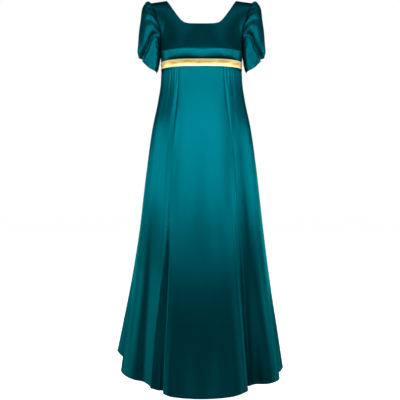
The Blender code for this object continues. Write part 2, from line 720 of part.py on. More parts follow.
def make_bodice(satin, collection):
    make_wall("bodice_front", bodice_walls(front=True), satin, collection, mirrored=True)
    back = bodice_walls(front=False)
    make_wall("bodice_back_left", back, satin, collection)
    make_wall("bodice_back_right", [flipped(grid) for grid in back], satin, collection)


def make_sleeves(satin, collection):
    turns = [CAP_HALF_DEG * (i / CAP_PLEATS - 1.0) for i in range(2 * CAP_PLEATS)]
    under_deg = 360.0 - 2.0 * CAP_HALF_DEG
    turns += [CAP_HALF_DEG + under_deg * i / UNDER_COLUMNS for i in range(UNDER_COLUMNS)]
    rings = (len(SLEEVE_RINGS) - 1) * RING_STEPS
    grid = []
    for j in range(rings + 1):
        grid.append([sleeve_pair(j / RING_STEPS, turn) for turn in turns])
    make_wall("sleeve_left", [grid], satin, collection, closed=True)
    make_wall("sleeve_right", [flipped(grid)], satin, collection, closed=True)


def make_skirt(satin, collection):
    for panel in SKIRT_PANELS:
        make_wall(panel.node, [skirt_panel_grid(panel)], satin, collection)


def make_trim(ribbon, collection):
    make_wall("waist_trim", [trim_grid()], ribbon, collection, closed=True)


def main():
    for thing in list(bpy.data.objects):
        bpy.data.objects.remove(thing, do_unlink=True)
    collection = bpy.data.collections.new(COLLECTION)
    bpy.context.scene.collection.children.link(collection)
    satin = new_material("teal_satin", (0.0, 0.14, 0.17), 0.38, 0.0)
    ribbon = new_material("gold_ribbon", (0.80, 0.60, 0.22), 0.45, 0.0)
    make_bodice(satin, collection)
    make_sleeves(satin, collection)
    make_skirt(satin, collection)
    make_trim(ribbon, collection)


main()
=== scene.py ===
"""Regency gown: the looks. Each cut piece becomes a thin shell of satin on its solid's form.

Metres, +Z up. The front faces -Y, and the wearer's left is +X. Surfaces are worked out on
arrays: a function takes its two numbers as arrays and gives points as an array with a last
axis of three.
"""

import math
from collections import namedtuple

import bpy
import numpy as np
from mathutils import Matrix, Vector


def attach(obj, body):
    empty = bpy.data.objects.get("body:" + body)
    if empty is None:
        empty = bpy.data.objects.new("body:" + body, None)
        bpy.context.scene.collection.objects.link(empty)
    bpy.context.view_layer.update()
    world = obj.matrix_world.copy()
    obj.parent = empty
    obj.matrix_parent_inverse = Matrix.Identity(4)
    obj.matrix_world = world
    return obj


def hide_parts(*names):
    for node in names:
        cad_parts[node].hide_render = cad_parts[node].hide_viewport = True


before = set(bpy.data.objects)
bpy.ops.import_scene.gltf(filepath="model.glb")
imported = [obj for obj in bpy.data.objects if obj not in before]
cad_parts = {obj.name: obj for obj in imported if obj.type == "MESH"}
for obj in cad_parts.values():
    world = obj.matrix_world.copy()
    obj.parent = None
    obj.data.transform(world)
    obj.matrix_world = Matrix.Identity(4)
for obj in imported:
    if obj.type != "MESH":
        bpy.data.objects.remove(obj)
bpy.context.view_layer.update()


def table(columns, rows, defaults=()):
    """A table's rows, with its columns named. The last ones may have defaults."""
    row_type = namedtuple("Row", columns, defaults=defaults)
    return [row_type(*row) for row in rows]


# The wearer's left is at side 1, and the right at side -1
SIDES = ((1, "left"), (-1, "right"))

# Cloth and seams
CLOTH = 0.0010
RIBBON = 0.0009
SEAM_GAP = 0.0003
# Cloth dips into a seam this deep, from this far off
SEAM_DEPTH = 0.0012
SEAM_REACH = 0.0030

# Bodice
WAIST_Z = -0.243
UNDERARM_X = 0.1525
UNDERARM_Z = -0.197
SHOULDER_TIP_X = 0.187
SHOULDER_TIP_Z = 0.001
ARMHOLE_FRONT = 0.050
ARMHOLE_BACK = 0.055
ARMHOLE_HOLLOW = 0.014
NECK_X = 0.130
NECK_CORNER_X = 0.074
FRONT_NECK_Z = -0.100
BACK_NECK_Z = -0.090
NECK_TOP_Z = 0.009
NECK_BEND = 0.52
NECK_SOFTNESS = 0.13
DART_X = 0.088
DART_TOP_Z = -0.186
DART_FULL_Z = -0.219
DART_DEPTH = 0.0016
DART_HALF_WIDTH = 0.013
CUP_X = 0.082
CUP_Z = -0.176
CUP_FULL_Z = -0.213
CUP_DEPTH = 0.005
CUP_REACH = 0.050

BODICE_ROWS = table("name mid_z mid_y edge_z reach_deg squareness", (
    ("front waist", -0.243, -0.1130, -0.243, 90, 2.9),
    ("front under bust", -0.2310, -0.1250, -0.229, 90, 2.9),
    ("front bust", -0.2268, -0.1318, -0.214, 90, 2.8),
    ("front underarm", -0.2035, -0.1329, -0.197, 90, 2.7),
    ("front over bust", -0.1600, -0.1220, -0.167, 74, 2.5),
    ("front neckline", -0.100, -0.1035, -0.131, 62, 2.3),
    ("front chest", -0.064, -0.0830, -0.095, 55, 2.2),
    ("front strap low", -0.028, -0.0590, -0.059, 50, 2.1),
    ("front strap", 0.002, -0.0350, -0.027, 47, 2.0),
    ("front strap top", 0.021, -0.0160, -0.007, 45, 2.0),
    ("shoulder seam", 0.0275, 0.0000, 0.001, 45, 2.0),
    ("back strap top", 0.021, 0.0170, -0.007, 45, 2.0),
    ("back strap", 0.002, 0.0390, -0.027, 47, 2.0),
    ("back strap low", -0.028, 0.0650, -0.059, 50, 2.1),
    ("back shoulder blade", -0.064, 0.0880, -0.095, 55, 2.2),
    ("back neckline", -0.100, 0.1030, -0.131, 62, 2.3),
    ("back upper", -0.138, 0.1090, -0.167, 74, 2.5),
    ("back underarm", -0.170, 0.1095, -0.197, 90, 2.7),
    ("back middle", -0.195, 0.1070, -0.214, 90, 2.8),
    ("back low", -0.219, 0.1035, -0.229, 90, 2.9),
    ("back waist", -0.243, 0.1000, -0.243, 90, 2.9),
))
SHOULDER_ROW = 10
UNDERARM_ROW = 3
WAIST_HALF_WIDTH = 0.149
# Columns below the neckline and from its corner to the armhole, then rows up to that
# corner and on up the strap
CENTRE_COLUMNS = 36
SIDE_COLUMNS = 48
NECK_ROWS = 44
STRAP_ROWS = 44
# The share of the side edge's points that lie below the underarm
UNDERARM_SHARE = 0.36

# Creases of the bodice, placed by where they start and end on the front or the back. Each
# is drawn on both sides, and more on the wearer's right where lean is above 1.
BODICE_CREASES = table("name front x_a z_a x_b z_b depth half_width lean", (
    ("armhole drag", True, 0.150, -0.150, 0.118, -0.020, -0.0012, 0.008, 1.1),
    ("strap swell", True, 0.130, -0.115, 0.112, -0.030, 0.0008, 0.009, 0.9),
    ("side bust drag", True, 0.146, -0.185, 0.112, -0.176, -0.0009, 0.006, 1.2),
    ("neckline slack", True, 0.060, -0.118, 0.030, -0.121, -0.0005, 0.007, 1.1),
    ("side fullness", True, 0.150, -0.198, 0.104, -0.198, 0.0036, 0.016, 1.0),
    ("back armhole drag", False, 0.150, -0.150, 0.118, -0.020, -0.0012, 0.008, 0.9),
    ("back waist drag", False, 0.120, -0.222, 0.045, -0.196, -0.0010, 0.008, 1.1),
    ("back shoulder slack", False, 0.105, -0.105, 0.040, -0.132, -0.0008, 0.010, 1.0),
))

# Where along its line a crease deepens and is lost, as shares of its length
BODICE_CREASE_IN = (-0.25, 0.25)
BODICE_CREASE_OUT = (0.7, 1.25)
# Relief of the bodice fades out over this distance beside its seams
EDGE_FADE = 0.015
# Outward is a point's own direction from the gown's middle line, leaned to front and back
BODICE_OUTWARD = np.array((1.0, 1.6, 0.0))
# The flat cut of the front and of each back, width and length
BODICE_FRONT_CUT = (0.43, 0.33)
BODICE_BACK_CUT = (0.22, 0.32)

# Sleeves, one row for each ring from the armhole to the hem
SLEEVE_RINGS = table("name top_x top_z low_x low_z front back hollow tilt", (
    ("armhole", SHOULDER_TIP_X, SHOULDER_TIP_Z, UNDERARM_X, UNDERARM_Z,
     ARMHOLE_FRONT, ARMHOLE_BACK, ARMHOLE_HOLLOW, 0.0),
    ("cap", 0.2020, 0.005, 0.1560, -0.204, 0.064, 0.066, 0.007, 0.000),
    ("puff top", 0.2215, -0.020, 0.1570, -0.214, 0.072, 0.073, 0.002, 0.001),
    ("puff", 0.2280, -0.067, 0.1580, -0.226, 0.073, 0.075, 0.000, 0.003),
    ("puff low", 0.2350, -0.122, 0.1600, -0.238, 0.071, 0.073, 0.000, 0.006),
    ("above hem", 0.2372, -0.172, 0.1630, -0.252, 0.069, 0.069, 0.000, 0.010),
    ("hem", 0.2320, -0.204, 0.1680, -0.262, 0.066, 0.066, 0.000, 0.013),
))
SLEEVE_ROWS = 132
SLEEVE_COLUMNS = 288
# Relief reaches its full depth at this ring
RELIEF_FULL_RING = 0.35
# The cap's pleats: how many and how deep, the rings where they are deepest and lost, and
# the angles off the shoulder where they start to fade and are lost
CAP_PLEATS = 8
CAP_PLEAT_DEPTH = 0.0032
CAP_PLEAT_PEAK_RING = 0.8
CAP_PLEAT_END_RING = 1.8
CAP_FULL_DEG = 50.0
CAP_HALF_DEG = 75.0
# Where along its line a fold deepens and is lost, as shares of its length
FOLD_FADE_IN = (-0.05, 0.25)
FOLD_FADE_OUT = (0.75, 1.05)

# Turn is 0 over the shoulder, 90 at the front, 180 under the arm and 270 at the back. A
# fold's line passes the three turns at its first ring, midway and at its last ring. Its
# half width goes from wide_a to wide_b degrees, and lost is the share of its depth that is
# gone past its last ring.
SLEEVE_FOLDS = table("name first_ring last_ring turn_a turn_b turn_c depth wide_a wide_b lost", (
    ("front armhole puff", 0.0, 1.7, 106, 108, 112, 0.0070, 40, 36, 1.0),
    ("front crease", 0.5, 6.2, 110, 95, 36, -0.0120, 5.0, 11, 0.4),
    ("front bulge", 0.8, 6.0, 80, 66, 12, 0.0045, 20, 22, 0.5),
    ("front pocket", 1.0, 2.5, 82, 70, 58, -0.0060, 8, 8, 1.0),
    ("front pocket ridge", 0.3, 1.6, 92, 74, 60, 0.0030, 6, 6, 1.0),
    ("front panel slack", 1.6, 6.2, 116, 110, 100, -0.0040, 13, 15, 0.3),
    ("front low swell", 1.0, 6.2, 145, 141, 131, 0.0140, 19, 22, 0.0),
    ("back crease", 0.5, 6.2, 264, 268, 312, -0.0065, 9, 15, 0.6),
    ("back bulge", 0.8, 6.0, 284, 292, 336, 0.0040, 16, 20, 0.6),
    ("back pocket", 1.2, 2.4, 286, 292, 300, -0.0035, 8, 8, 1.0),
    ("back low swell", 1.0, 6.2, 216, 218, 226, 0.0050, 20, 22, 0.0),
))

# Waist trim
TRIM_WIDTH = 0.024
TRIM_LIFT = 0.0005
TRIM_ROWS = 12
TRIM_COLUMNS = 200
# The bodice row that the ribbon's upper half is laid toward
FIRST_ROW = 0.8

# Skirt, one row for each level below the waist seam
SKIRT_LEVELS = table("drop half_width front_y back_y centre_y squareness", (
    (0.000, WAIST_HALF_WIDTH, -0.113, 0.100, 0.000, 2.9),
    (0.050, 0.1510, -0.119, 0.107, 0.002, 2.7),
    (0.120, 0.1620, -0.1293, 0.122, 0.006, 2.4),
    (0.230, 0.1860, -0.1455, 0.146, 0.014, 2.2),
    (0.380, 0.2095, -0.1675, 0.182, 0.026, 2.0),
    (0.600, 0.2390, -0.203, 0.240, 0.043, 2.0),
    (0.830, 0.2725, -0.243, 0.310, 0.060, 2.0),
    (1.000, 0.3010, -0.268, 0.365, 0.072, 2.0),
    (1.151, 0.3250, -0.285, 0.410, 0.080, 2.0),
))
SKIRT_LENGTH = SKIRT_LEVELS[-1].drop
SKIRT_ROW_DROPS = (0.0, 0.014, 0.035, 0.060, 0.090, 0.125, 0.170, 0.230, 0.310, 0.420,
                   0.560, 0.720, 0.880, 1.020, SKIRT_LENGTH)
# Rows from one of those drops to the next, and columns for each one in the folds' table
ROWS_BETWEEN = 10
COLUMNS_BETWEEN = 5
# A fold's rise grows as this power of the drop
RISE_GROWTH = 2.0
# Gathers: their depth, the drops where they start, are full, wane and end, and how much
# and how often that depth varies
GATHER_DEPTH = 0.0009
GATHER_START = 0.008
GATHER_FULL = 0.040
GATHER_WANES = 0.025
GATHER_END = 0.110
GATHER_UNEVEN = 0.25
GATHER_BEAT = 2.3

# Folds of the skirt, from the centre back round the wearer's right, the front and the
# left. Out is how far the hem stands off the plain cone, rise how far it lifts, and a
# larger growth opens the fold later on its way down. Where a row leaves them out, rise is
# 0 and growth 1.6.
FOLDS = table("name waist_deg hem_deg out columns rise growth", (
    ("centre back seam", -180, -180, -0.026, 5, 0.028),
    ("back right ridge 1", -162, -165, 0.022, 5, 0.026),
    ("back right valley 1", -147, -151, -0.030, 5, 0.026),
    ("back right ridge 2", -132, -139, 0.020, 5, 0.028),
    ("back right valley 2", -118, -127, -0.024, 5, 0.032),
    ("right swung lobe", -104, -116, 0.056, 5, 0.045, 2.4),
    ("right side seam", -90, -104, -0.030, 4, 0.010),
    ("right side ridge", -81, -87, -0.016, 3, 0.008),
    ("right side slope", -72, -72, -0.038, 2),
    ("right valley edge", -64, -63.2, -0.054, 2),
    ("right valley", -57, -57.6, -0.068, 2),
    ("right valley front", -51, -50.4, -0.068, 2),
    ("right seam slope", -45, -43, -0.058, 2),
    ("right seam ridge", -40, -36.4, -0.043, 1),
    ("right seam brink", -37, -32, -0.040, 2),
    ("right princess seam", -34, -28.2, -0.045, 2),
    ("right of front near", -30, -25, -0.018, 1),
    ("right of front", -26.5, -22.8, -0.007, 2),
    ("right front swell", -19, -17, 0.010, 4),
    ("centre front", 0, 0, 0.018, 4),
    ("left front swell", 18, 16.7, 0.010, 2),
    ("left of front", 26, 28, -0.016, 1),
    ("left of front near", 28.7, 32.7, -0.031, 1),
    ("left seam wall", 30.8, 36.6, -0.051, 2),
    ("left princess seam", 32.7, 40.8, -0.076, 3),
    ("left valley", 41, 49, -0.067, 2),
    ("left seam slope", 46.5, 53.2, -0.040, 2),
    ("left seam ridge", 51.5, 56.1, -0.029, 2),
    ("left swell", 57.5, 60.5, -0.022, 3),
    ("left ridge", 66, 66.5, -0.017, 3, 0.0, 2.4),
    ("left side slope", 74, 70.9, -0.020, 3, 0.0, 2.4),
    ("left side seam", 90, 80.8, -0.029, 4, 0.003, 2.4),
    ("left side ridge", 97, 88, -0.018, 4, 0.006, 2.4),
    ("left back lobe", 107, 99, -0.003, 4, 0.010, 2.4),
    ("back left valley 3", 118, 110, -0.026, 4, 0.018, 2.4),
    ("back left ridge 3", 130, 121, 0.018, 4, 0.022),
    ("back left valley 2", 141, 132, -0.030, 4, 0.024),
    ("back left ridge 2", 151, 144, 0.022, 4, 0.026),
    ("back left valley 1", 161, 156, -0.028, 3, 0.027),
    ("back left ridge 1", 171, 168, 0.020, 4, 0.028),
    ("centre back end", 180, 180, -0.026, 0, 0.028),
), defaults=(0.0, 1.6))

SKIRT_PANELS = table("node first last gathered", (
    ("skirt_back_right", "centre back seam", "right side seam", True),
    ("skirt_front_right", "right side seam", "right princess seam", True),
    ("skirt_front_centre", "right princess seam", "left princess seam", False),
    ("skirt_front_left", "left princess seam", "left side seam", True),
    ("skirt_back_left", "left side seam", "centre back end", True),
))

# Soft creases of the skirt between its main folds: the angle round the skirt at the
# crease's top and foot, and the depths below the waist seam that it runs between
SKIRT_CREASES = table("name deg_a deg_b drop_a drop_b depth half_width", (
    ("front right slack", -14, -12, 0.30, 0.95, -0.0016, 0.020),
    ("front middle slack", -3, 2, 0.50, 1.20, -0.0018, 0.022),
    ("front left slack", 11, 13, 0.18, 0.80, -0.0014, 0.018),
    ("front left swell", 19, 21, 0.35, 1.10, 0.0012, 0.014),
    ("right seam ridge top", -37.5, -41, 0.02, 0.42, 0.0009, 0.006),
    ("right gather run", -58, -57, 0.00, 0.24, -0.0012, 0.009),
    ("right gather near", -47, -48, 0.00, 0.20, -0.0010, 0.007),
    ("right outer run", -76, -73, 0.02, 0.36, -0.0012, 0.010),
    ("right seam valley", -30.5, -28.2, 0.85, 1.70, -0.0040, 0.004),
    ("right seam ridge middle", -30.5, -32, 0.10, 0.85, 0.0060, 0.010),
    ("right seam ridge low", -31, -44.5, 0.50, 1.60, 0.0060, 0.010),
    ("right of front edge", -26, -24.5, 0.30, 1.60, 0.0018, 0.009),
    ("left of front edge", 29, 32, 0.30, 1.60, 0.0018, 0.009),
    ("right panel trough", -55, -55, 0.45, 1.60, -0.0040, 0.022),
    ("left seam ridge top", 37.5, 41, 0.02, 0.38, 0.0009, 0.006),
    ("left gather near", 46, 47, 0.00, 0.20, -0.0010, 0.007),
    ("left gather run", 60, 60, 0.00, 0.26, -0.0012, 0.009),
    ("left outer run", 76, 74, 0.02, 0.34, -0.0012, 0.010),
    ("left seam valley", 34.5, 41, 0.85, 1.70, -0.0060, 0.007),
    ("left seam ridge middle", 35, 37, 0.10, 0.85, 0.0060, 0.010),
    ("left seam ridge low", 37, 44.5, 0.50, 1.35, 0.0070, 0.010),
    ("left low slack", 62, 64, 0.55, 1.12, -0.0020, 0.018),
    ("right low slack", -70, -72, 0.60, 1.14, -0.0020, 0.018),
    ("back run 1", -150, -152, 0.05, 0.60, -0.0026, 0.014),
    ("back run 2", -126, -130, 0.04, 0.48, -0.0026, 0.012),
    ("back run 3", 128, 125, 0.05, 0.55, -0.0026, 0.013),
    ("back run 4", 155, 152, 0.04, 0.62, -0.0028, 0.014),
    ("back low run 1", -158, -160, 0.55, 1.12, -0.0022, 0.020),
    ("back low run 2", 164, 162, 0.60, 1.14, -0.0022, 0.020),
))
CREASE_FADE = 0.35

# Hems and stitches
SKIRT_HEM = 0.012
SLEEVE_HEM = 0.018
# A hem's extra thickness, and the half height of the step at its top
HEM_SWELL = 0.0004
HEM_STEP = 0.001
# Stitches draw the cloth in over this half width, and point toward a place this far ahead
STITCH_DIP = 0.0015
STITCH_AHEAD = 0.001
STITCH_PITCH = 0.0042
STITCH_LENGTH = 0.0028
STITCH_RADIUS = 0.00022
STITCH_SIDES = 6
# A stitch's rings: their place as a share of its length, their size and lift in radii
STITCH_RINGS = table("place size lift", ((0.0, 0.35, -0.3), (0.5, 1.0, 0.7), (1.0, 0.35, -0.3)))

# Seam allowances: how far behind the neighbour's face they lie, how far they run on
# behind it, how narrow the edge's roll is, and how far the sleeve's goes in and over
BEHIND_FACE = 0.0014
ALLOWANCE_WIDE = 0.0080
SEAM_ROLL = 0.0003
ALLOWANCE_IN = 0.0022
ALLOWANCE_OVER = np.array((0.0040, 0.0, 0.0))

# Camera
LENS_MM = 62.53
CAMERA_AT = (-0.0056, -2.6, -0.735)

# How often a search halves its span
BISECT_STEPS = 40


class Curve:
    """A smooth curve through values at rising knots, which never swings past them."""

    def __init__(self, knots, values, closed=False):
        self.knots = self.run_of(knots, closed)
        self.values = self.run_of(values, closed)
        steps = np.diff(self.knots)
        rates = np.diff(self.values) / steps
        slopes = [rates[0]]
        for i in range(1, len(rates)):
            before = rates[i - 1]
            after = rates[i]
            if before * after <= 0.0:
                slopes.append(0.0)
                continue
            weight_a = 2.0 * steps[i] + steps[i - 1]
            weight_b = steps[i] + 2.0 * steps[i - 1]
            slopes.append((weight_a + weight_b) / (weight_a / before + weight_b / after))
        slopes.append(rates[-1])
        self.slopes = np.array(slopes)

    @staticmethod
    def run_of(values, closed):
        """The values as an array. A closed run goes one step on past each end."""
        run = np.array(values, float)
        if not closed:
            return run
        before = run[0] + (run[-2] - run[-1])
        after = run[-1] + (run[1] - run[0])
        return np.concatenate([[before], run, [after]])

    def __call__(self, places):
        after = np.searchsorted(self.knots, places, side="right")
        i = np.clip(after - 1, 0, len(self.knots) - 2)
        width = self.knots[i + 1] - self.knots[i]
        t = (places - self.knots[i]) / width
        square = t * t
        cube = square * t
        return (self.values[i] * (2.0 * cube - 3.0 * square + 1.0)
                + self.slopes[i] * width * (cube - 2.0 * square + t)
                + self.values[i + 1] * (3.0 * square - 2.0 * cube)
                + self.slopes[i + 1] * width * (cube - square))


def curves(knots, rows, columns, closed=False):
    """A smooth curve through each of a table's columns that are named."""
    return [Curve(knots, [getattr(row, column) for row in rows], closed)
            for column in columns.split()]


def mix(low, high, share):
    return low + (high - low) * share


def ease(place, start, end):
    """0 before start, 1 after end and a soft slope between them."""
    t = np.clip((place - start) / (end - start), 0.0, 1.0)
    return t * t * (3.0 - 2.0 * t)


def bell(off):
    """1 at 0, falling softly to nothing by 2 or so on either side."""
    return np.exp(-off * off)


def bisect(passed, low, high):
    """The place between low and high where a test goes from False to True."""
    for _ in range(BISECT_STEPS):
        middle = (low + high) / 2.0
        gone = passed(middle)
        low = np.where(gone, low, middle)
        high = np.where(gone, middle, high)
    return (low + high) / 2.0


def unit(vectors):
    return vectors / np.linalg.norm(vectors, axis=-1, keepdims=True)


def forward_share(angle, squareness):
    """How far forward a section lies at an angle: an ellipse's at squareness 2."""
    side = np.minimum(np.abs(np.sin(angle)), 1.0)
    return (1.0 - side ** squareness) ** (1.0 / squareness)


def grid_normals(grid, closed=False):
    """The outward direction at each point: rows run down, columns to the wearer's left."""
    if closed:
        across = np.roll(grid, -1, axis=1) - np.roll(grid, 1, axis=1)
    else:
        across = np.gradient(grid, axis=1)
    down = np.gradient(grid, axis=0)
    return unit(np.cross(down, across))


def raised(grid, relief, closed=False):
    return grid + grid_normals(grid, closed) * relief[..., None]


def row_lengths(grid):
    """How far each point lies from its row's first point, along the row."""
    steps = np.linalg.norm(np.diff(grid, axis=1), axis=-1)
    start = np.zeros((len(grid), 1))
    return np.concatenate([start, np.cumsum(steps, axis=1)], axis=1)


def column_lengths(grid):
    """How far each point lies from its column's first point, down the column."""
    return row_lengths(grid.swapaxes(0, 1)).T


def mirrored(grid):
    """The same grid on the other side of the gown."""
    return grid[:, ::-1] * np.array((-1.0, 1.0, 1.0))


def lapped(part, neighbour):
    """A piece whose first edge runs on behind its neighbour's last, so the seam is shut."""
    edge = neighbour[:, -1:]
    step = neighbour[:, -2:-1] - edge
    length = np.linalg.norm(step, axis=-1, keepdims=True)
    far = edge + step * np.minimum(1.0, ALLOWANCE_WIDE / length)
    behind = np.concatenate([far, edge], axis=1)
    behind = behind - grid_normals(behind) * BEHIND_FACE
    roll = part[:, :1] + unit(part[:, 1:2] - part[:, :1]) * SEAM_ROLL
    return np.concatenate([behind, part[:, :1], roll, part[:, 1:]], axis=1)


# Bodice form: the row number runs from the front waist over the shoulder to the back
# waist, and reach runs from 0 on the centre line to 1 at the side seam or armhole.

ROW_NUMBERS = range(len(BODICE_ROWS))
MID_Z, MID_Y, EDGE_Z, BODICE_SQUARENESS = curves(
    ROW_NUMBERS, BODICE_ROWS, "mid_z mid_y edge_z squareness")
REACH = Curve(ROW_NUMBERS, [math.radians(row.reach_deg) for row in BODICE_ROWS])


def bodice_edge(row):
    """The half bodice's edge at a row: on the side seam, then round the armhole."""
    z = EDGE_Z(row)
    on_side = mix(WAIST_HALF_WIDTH, UNDERARM_X, (z - WAIST_Z) / (UNDERARM_Z - WAIST_Z))
    half_z = (SHOULDER_TIP_Z - UNDERARM_Z) / 2.0
    level = np.clip((z - UNDERARM_Z) / half_z - 1.0, -1.0, 1.0)
    across = np.sqrt(1.0 - level * level)
    middle_x = (SHOULDER_TIP_X + UNDERARM_X) / 2.0
    on_armhole = middle_x + level * (SHOULDER_TIP_X - middle_x) - ARMHOLE_HOLLOW * across ** 2
    depth = np.where(row < SHOULDER_ROW, -ARMHOLE_FRONT, ARMHOLE_BACK)
    return np.where(z <= UNDERARM_Z, on_side, on_armhole), depth * across, z


def cup_depth(x, z):
    """How far the bust cups stand off the plain front."""
    away = np.hypot(np.abs(x) - CUP_X, z - CUP_Z) / CUP_REACH
    return CUP_DEPTH * bell(away) * ease(z, WAIST_Z, CUP_FULL_Z)


def dart_depth(x, z):
    """How far a dart's stitched line draws the front in."""
    beside = np.maximum(0.0, 1.0 - np.abs(np.abs(x) - DART_X) / DART_HALF_WIDTH)
    above_trim = ease(z, WAIST_Z + TRIM_WIDTH / 2.0, DART_FULL_Z)
    return DART_DEPTH * beside * above_trim * (1.0 - ease(z, DART_FULL_Z, DART_TOP_Z))


def bodice_point(row, reach, darts=True):
    """The worn bodice's outer face, before its creases."""
    edge_x, edge_y, edge_z = bodice_edge(row)
    full = REACH(row)
    angle = reach * full
    x = edge_x * np.sin(angle) / np.sin(full)
    squareness = BODICE_SQUARENESS(row)
    at_edge = forward_share(full, squareness)
    share = (forward_share(angle, squareness) - at_edge) / (1.0 - at_edge)
    y = mix(edge_y, MID_Y(row), share)
    z = mix(MID_Z(row), edge_z, np.abs(x) / edge_x)
    at_front = row < SHOULDER_ROW
    y = y - np.where(at_front, cup_depth(x, z) * share, 0.0)
    if darts:
        y = y + np.where(at_front, dart_depth(x, z) * share, 0.0)
    return np.stack([x, y, z], axis=-1)


def reach_of_x(row, x):
    full = REACH(row)
    return np.arcsin(x * np.sin(full) / bodice_edge(row)[0]) / full


def height_of_x(row, x):
    return mix(MID_Z(row), EDGE_Z(row), x / bodice_edge(row)[0])


def neckline_rise(share):
    """0 at the centre and 1 at the neck point: flat, a soft corner, then straight."""
    def bend(place):
        past = place - NECK_BEND
        return np.sqrt(past * past + NECK_SOFTNESS ** 2) + past
    return (bend(share) - bend(0.0)) / (bend(1.0) - bend(0.0))


def neckline_z(x, bottom_z):
    return mix(bottom_z, NECK_TOP_Z, neckline_rise(x / NECK_X))


def bodice_places(front):
    """Row and reach of each point of the half bodice: below the neckline, then its strap."""
    bottom_z = FRONT_NECK_Z if front else BACK_NECK_Z

    def place(row):
        return row if front else 2 * SHOULDER_ROW - row

    def row_at_neckline(x):
        target = neckline_z(x, bottom_z)
        return bisect(lambda row: height_of_x(place(row), x) > target,
                      np.zeros_like(x), np.full_like(x, SHOULDER_ROW))

    across = np.linspace(0.0, 1.0, CENTRE_COLUMNS + 1)
    top_row = row_at_neckline(across * NECK_CORNER_X)
    up = np.linspace(0.0, 1.0, NECK_ROWS + 1)[:, None]
    row = up * top_row
    x = across * mix(DART_X, NECK_CORNER_X, up)
    centre = (place(row), reach_of_x(place(row), x))

    corner_row = top_row[-1]
    strap_up = np.linspace(0.0, 1.0, STRAP_ROWS + 1)[1:]
    strap_row = mix(corner_row, float(SHOULDER_ROW), strap_up)

    def past_neckline(x):
        return neckline_z(x, bottom_z) > height_of_x(place(strap_row), x)

    strap_x = bisect(past_neckline, np.full_like(strap_row, NECK_CORNER_X / 2.0),
                     np.full_like(strap_row, NECK_X))
    inner_row = np.concatenate([up[:, 0] * corner_row, strap_row])
    inner_x = np.concatenate([mix(DART_X, NECK_CORNER_X, up[:, 0]), strap_x])
    inner_reach = reach_of_x(place(inner_row), inner_x)
    along = np.linspace(0.0, 1.0, len(inner_row))
    below = along <= UNDERARM_SHARE
    edge_row = np.where(below, along / UNDERARM_SHARE * UNDERARM_ROW,
                        mix(float(UNDERARM_ROW), float(SHOULDER_ROW),
                            (along - UNDERARM_SHARE) / (1.0 - UNDERARM_SHARE)))
    side = np.linspace(0.0, 1.0, SIDE_COLUMNS + 1)
    rows = mix(inner_row[:, None], edge_row[:, None], side)
    strap = (place(rows), mix(inner_reach[:, None], 1.0, side))
    return centre, strap


def bodice_relief(grid, front, side):
    """Creases and slack of the worn bodice, on the wearer's left at side 1, right at -1."""
    x = np.abs(grid[..., 0])
    z = grid[..., 2]
    relief = np.zeros_like(x)
    for crease in BODICE_CREASES:
        if crease.front != front:
            continue
        step_x = crease.x_b - crease.x_a
        step_z = crease.z_b - crease.z_a
        length = math.hypot(step_x, step_z)
        along = ((x - crease.x_a) * step_x + (z - crease.z_a) * step_z) / length ** 2
        off = ((x - crease.x_a) * step_z - (z - crease.z_a) * step_x) / length
        ends = ease(along, *BODICE_CREASE_IN) * (1.0 - ease(along, *BODICE_CREASE_OUT))
        strength = crease.lean if side < 0 else 2.0 - crease.lean
        relief += crease.depth * strength * ends * bell(off / crease.half_width)
    return relief * ease(x, 0.0, EDGE_FADE)


def bodice_grids(front, side):
    """The half bodice's two blocks, on the wearer's left at side 1 and right at -1."""
    grids = []
    for row, reach in bodice_places(front):
        grid = bodice_point(row, reach)
        edge_x = bodice_edge(row)[0]
        inside = ease(edge_x - grid[..., 0], 0.0, EDGE_FADE)
        inside *= ease(grid[..., 2] - WAIST_Z, 0.0, EDGE_FADE)
        inside *= ease(np.abs(row - SHOULDER_ROW), 0.0, 1.0)
        outward = unit(grid * BODICE_OUTWARD)
        relief = bodice_relief(grid, front, side) * inside
        grid = grid + outward * relief[..., None]
        half_gap = SEAM_GAP / 2.0
        on_shoulder = np.isclose(row, SHOULDER_ROW)
        grid[..., 1] += np.where(on_shoulder, -half_gap if front else half_gap, 0.0)
        if not front:
            grid[..., 0] = np.maximum(grid[..., 0], half_gap)
        # Rows run up from the waist here, so they are turned to run down
        grid = grid[::-1]
        if not front:
            grid = grid[:, ::-1]
        if side < 0:
            # The wearer's right back runs on behind the left back at the centre seam
            on_centre = not front and not grids
            grid = lapped(mirrored(grid), grid) if on_centre else mirrored(grid)
        grids.append(grid)
    return grids


# Sleeve form: the ring number runs from the armhole to the hem

RING_NUMBERS = range(len(SLEEVE_RINGS))
TOP_X, TOP_Z, LOW_X, LOW_Z, FRONT_DEPTH, BACK_DEPTH, HOLLOW, TILT = curves(
    RING_NUMBERS, SLEEVE_RINGS, "top_x top_z low_x low_z front back hollow tilt")


def plain_sleeve(ring, turn_deg):
    turn = np.radians(turn_deg)
    down = (1.0 - np.cos(turn)) / 2.0
    side = np.sin(turn)
    depth = np.where(side > 0.0, FRONT_DEPTH(ring), BACK_DEPTH(ring))
    x = mix(TOP_X(ring), LOW_X(ring), down) - HOLLOW(ring) * side * side
    z = mix(TOP_Z(ring), LOW_Z(ring), down) - TILT(ring) * side
    return np.stack([x, -depth * side, z], axis=-1)


def angle_between(turn_a, turn_b):
    return (turn_a - turn_b + 180.0) % 360.0 - 180.0


def fold_relief(ring, turn_deg, fold):
    along = (ring - fold.first_ring) / (fold.last_ring - fold.first_ring)
    line = Curve((0.0, 0.5, 1.0), (fold.turn_a, fold.turn_b, fold.turn_c))
    on_line = np.clip(along, 0.0, 1.0)
    half_width = mix(fold.wide_a, fold.wide_b, on_line)
    off = angle_between(turn_deg, line(on_line)) / half_width
    stays = 1.0 - fold.lost * ease(along, *FOLD_FADE_OUT)
    return fold.depth * ease(along, *FOLD_FADE_IN) * stays * bell(off)


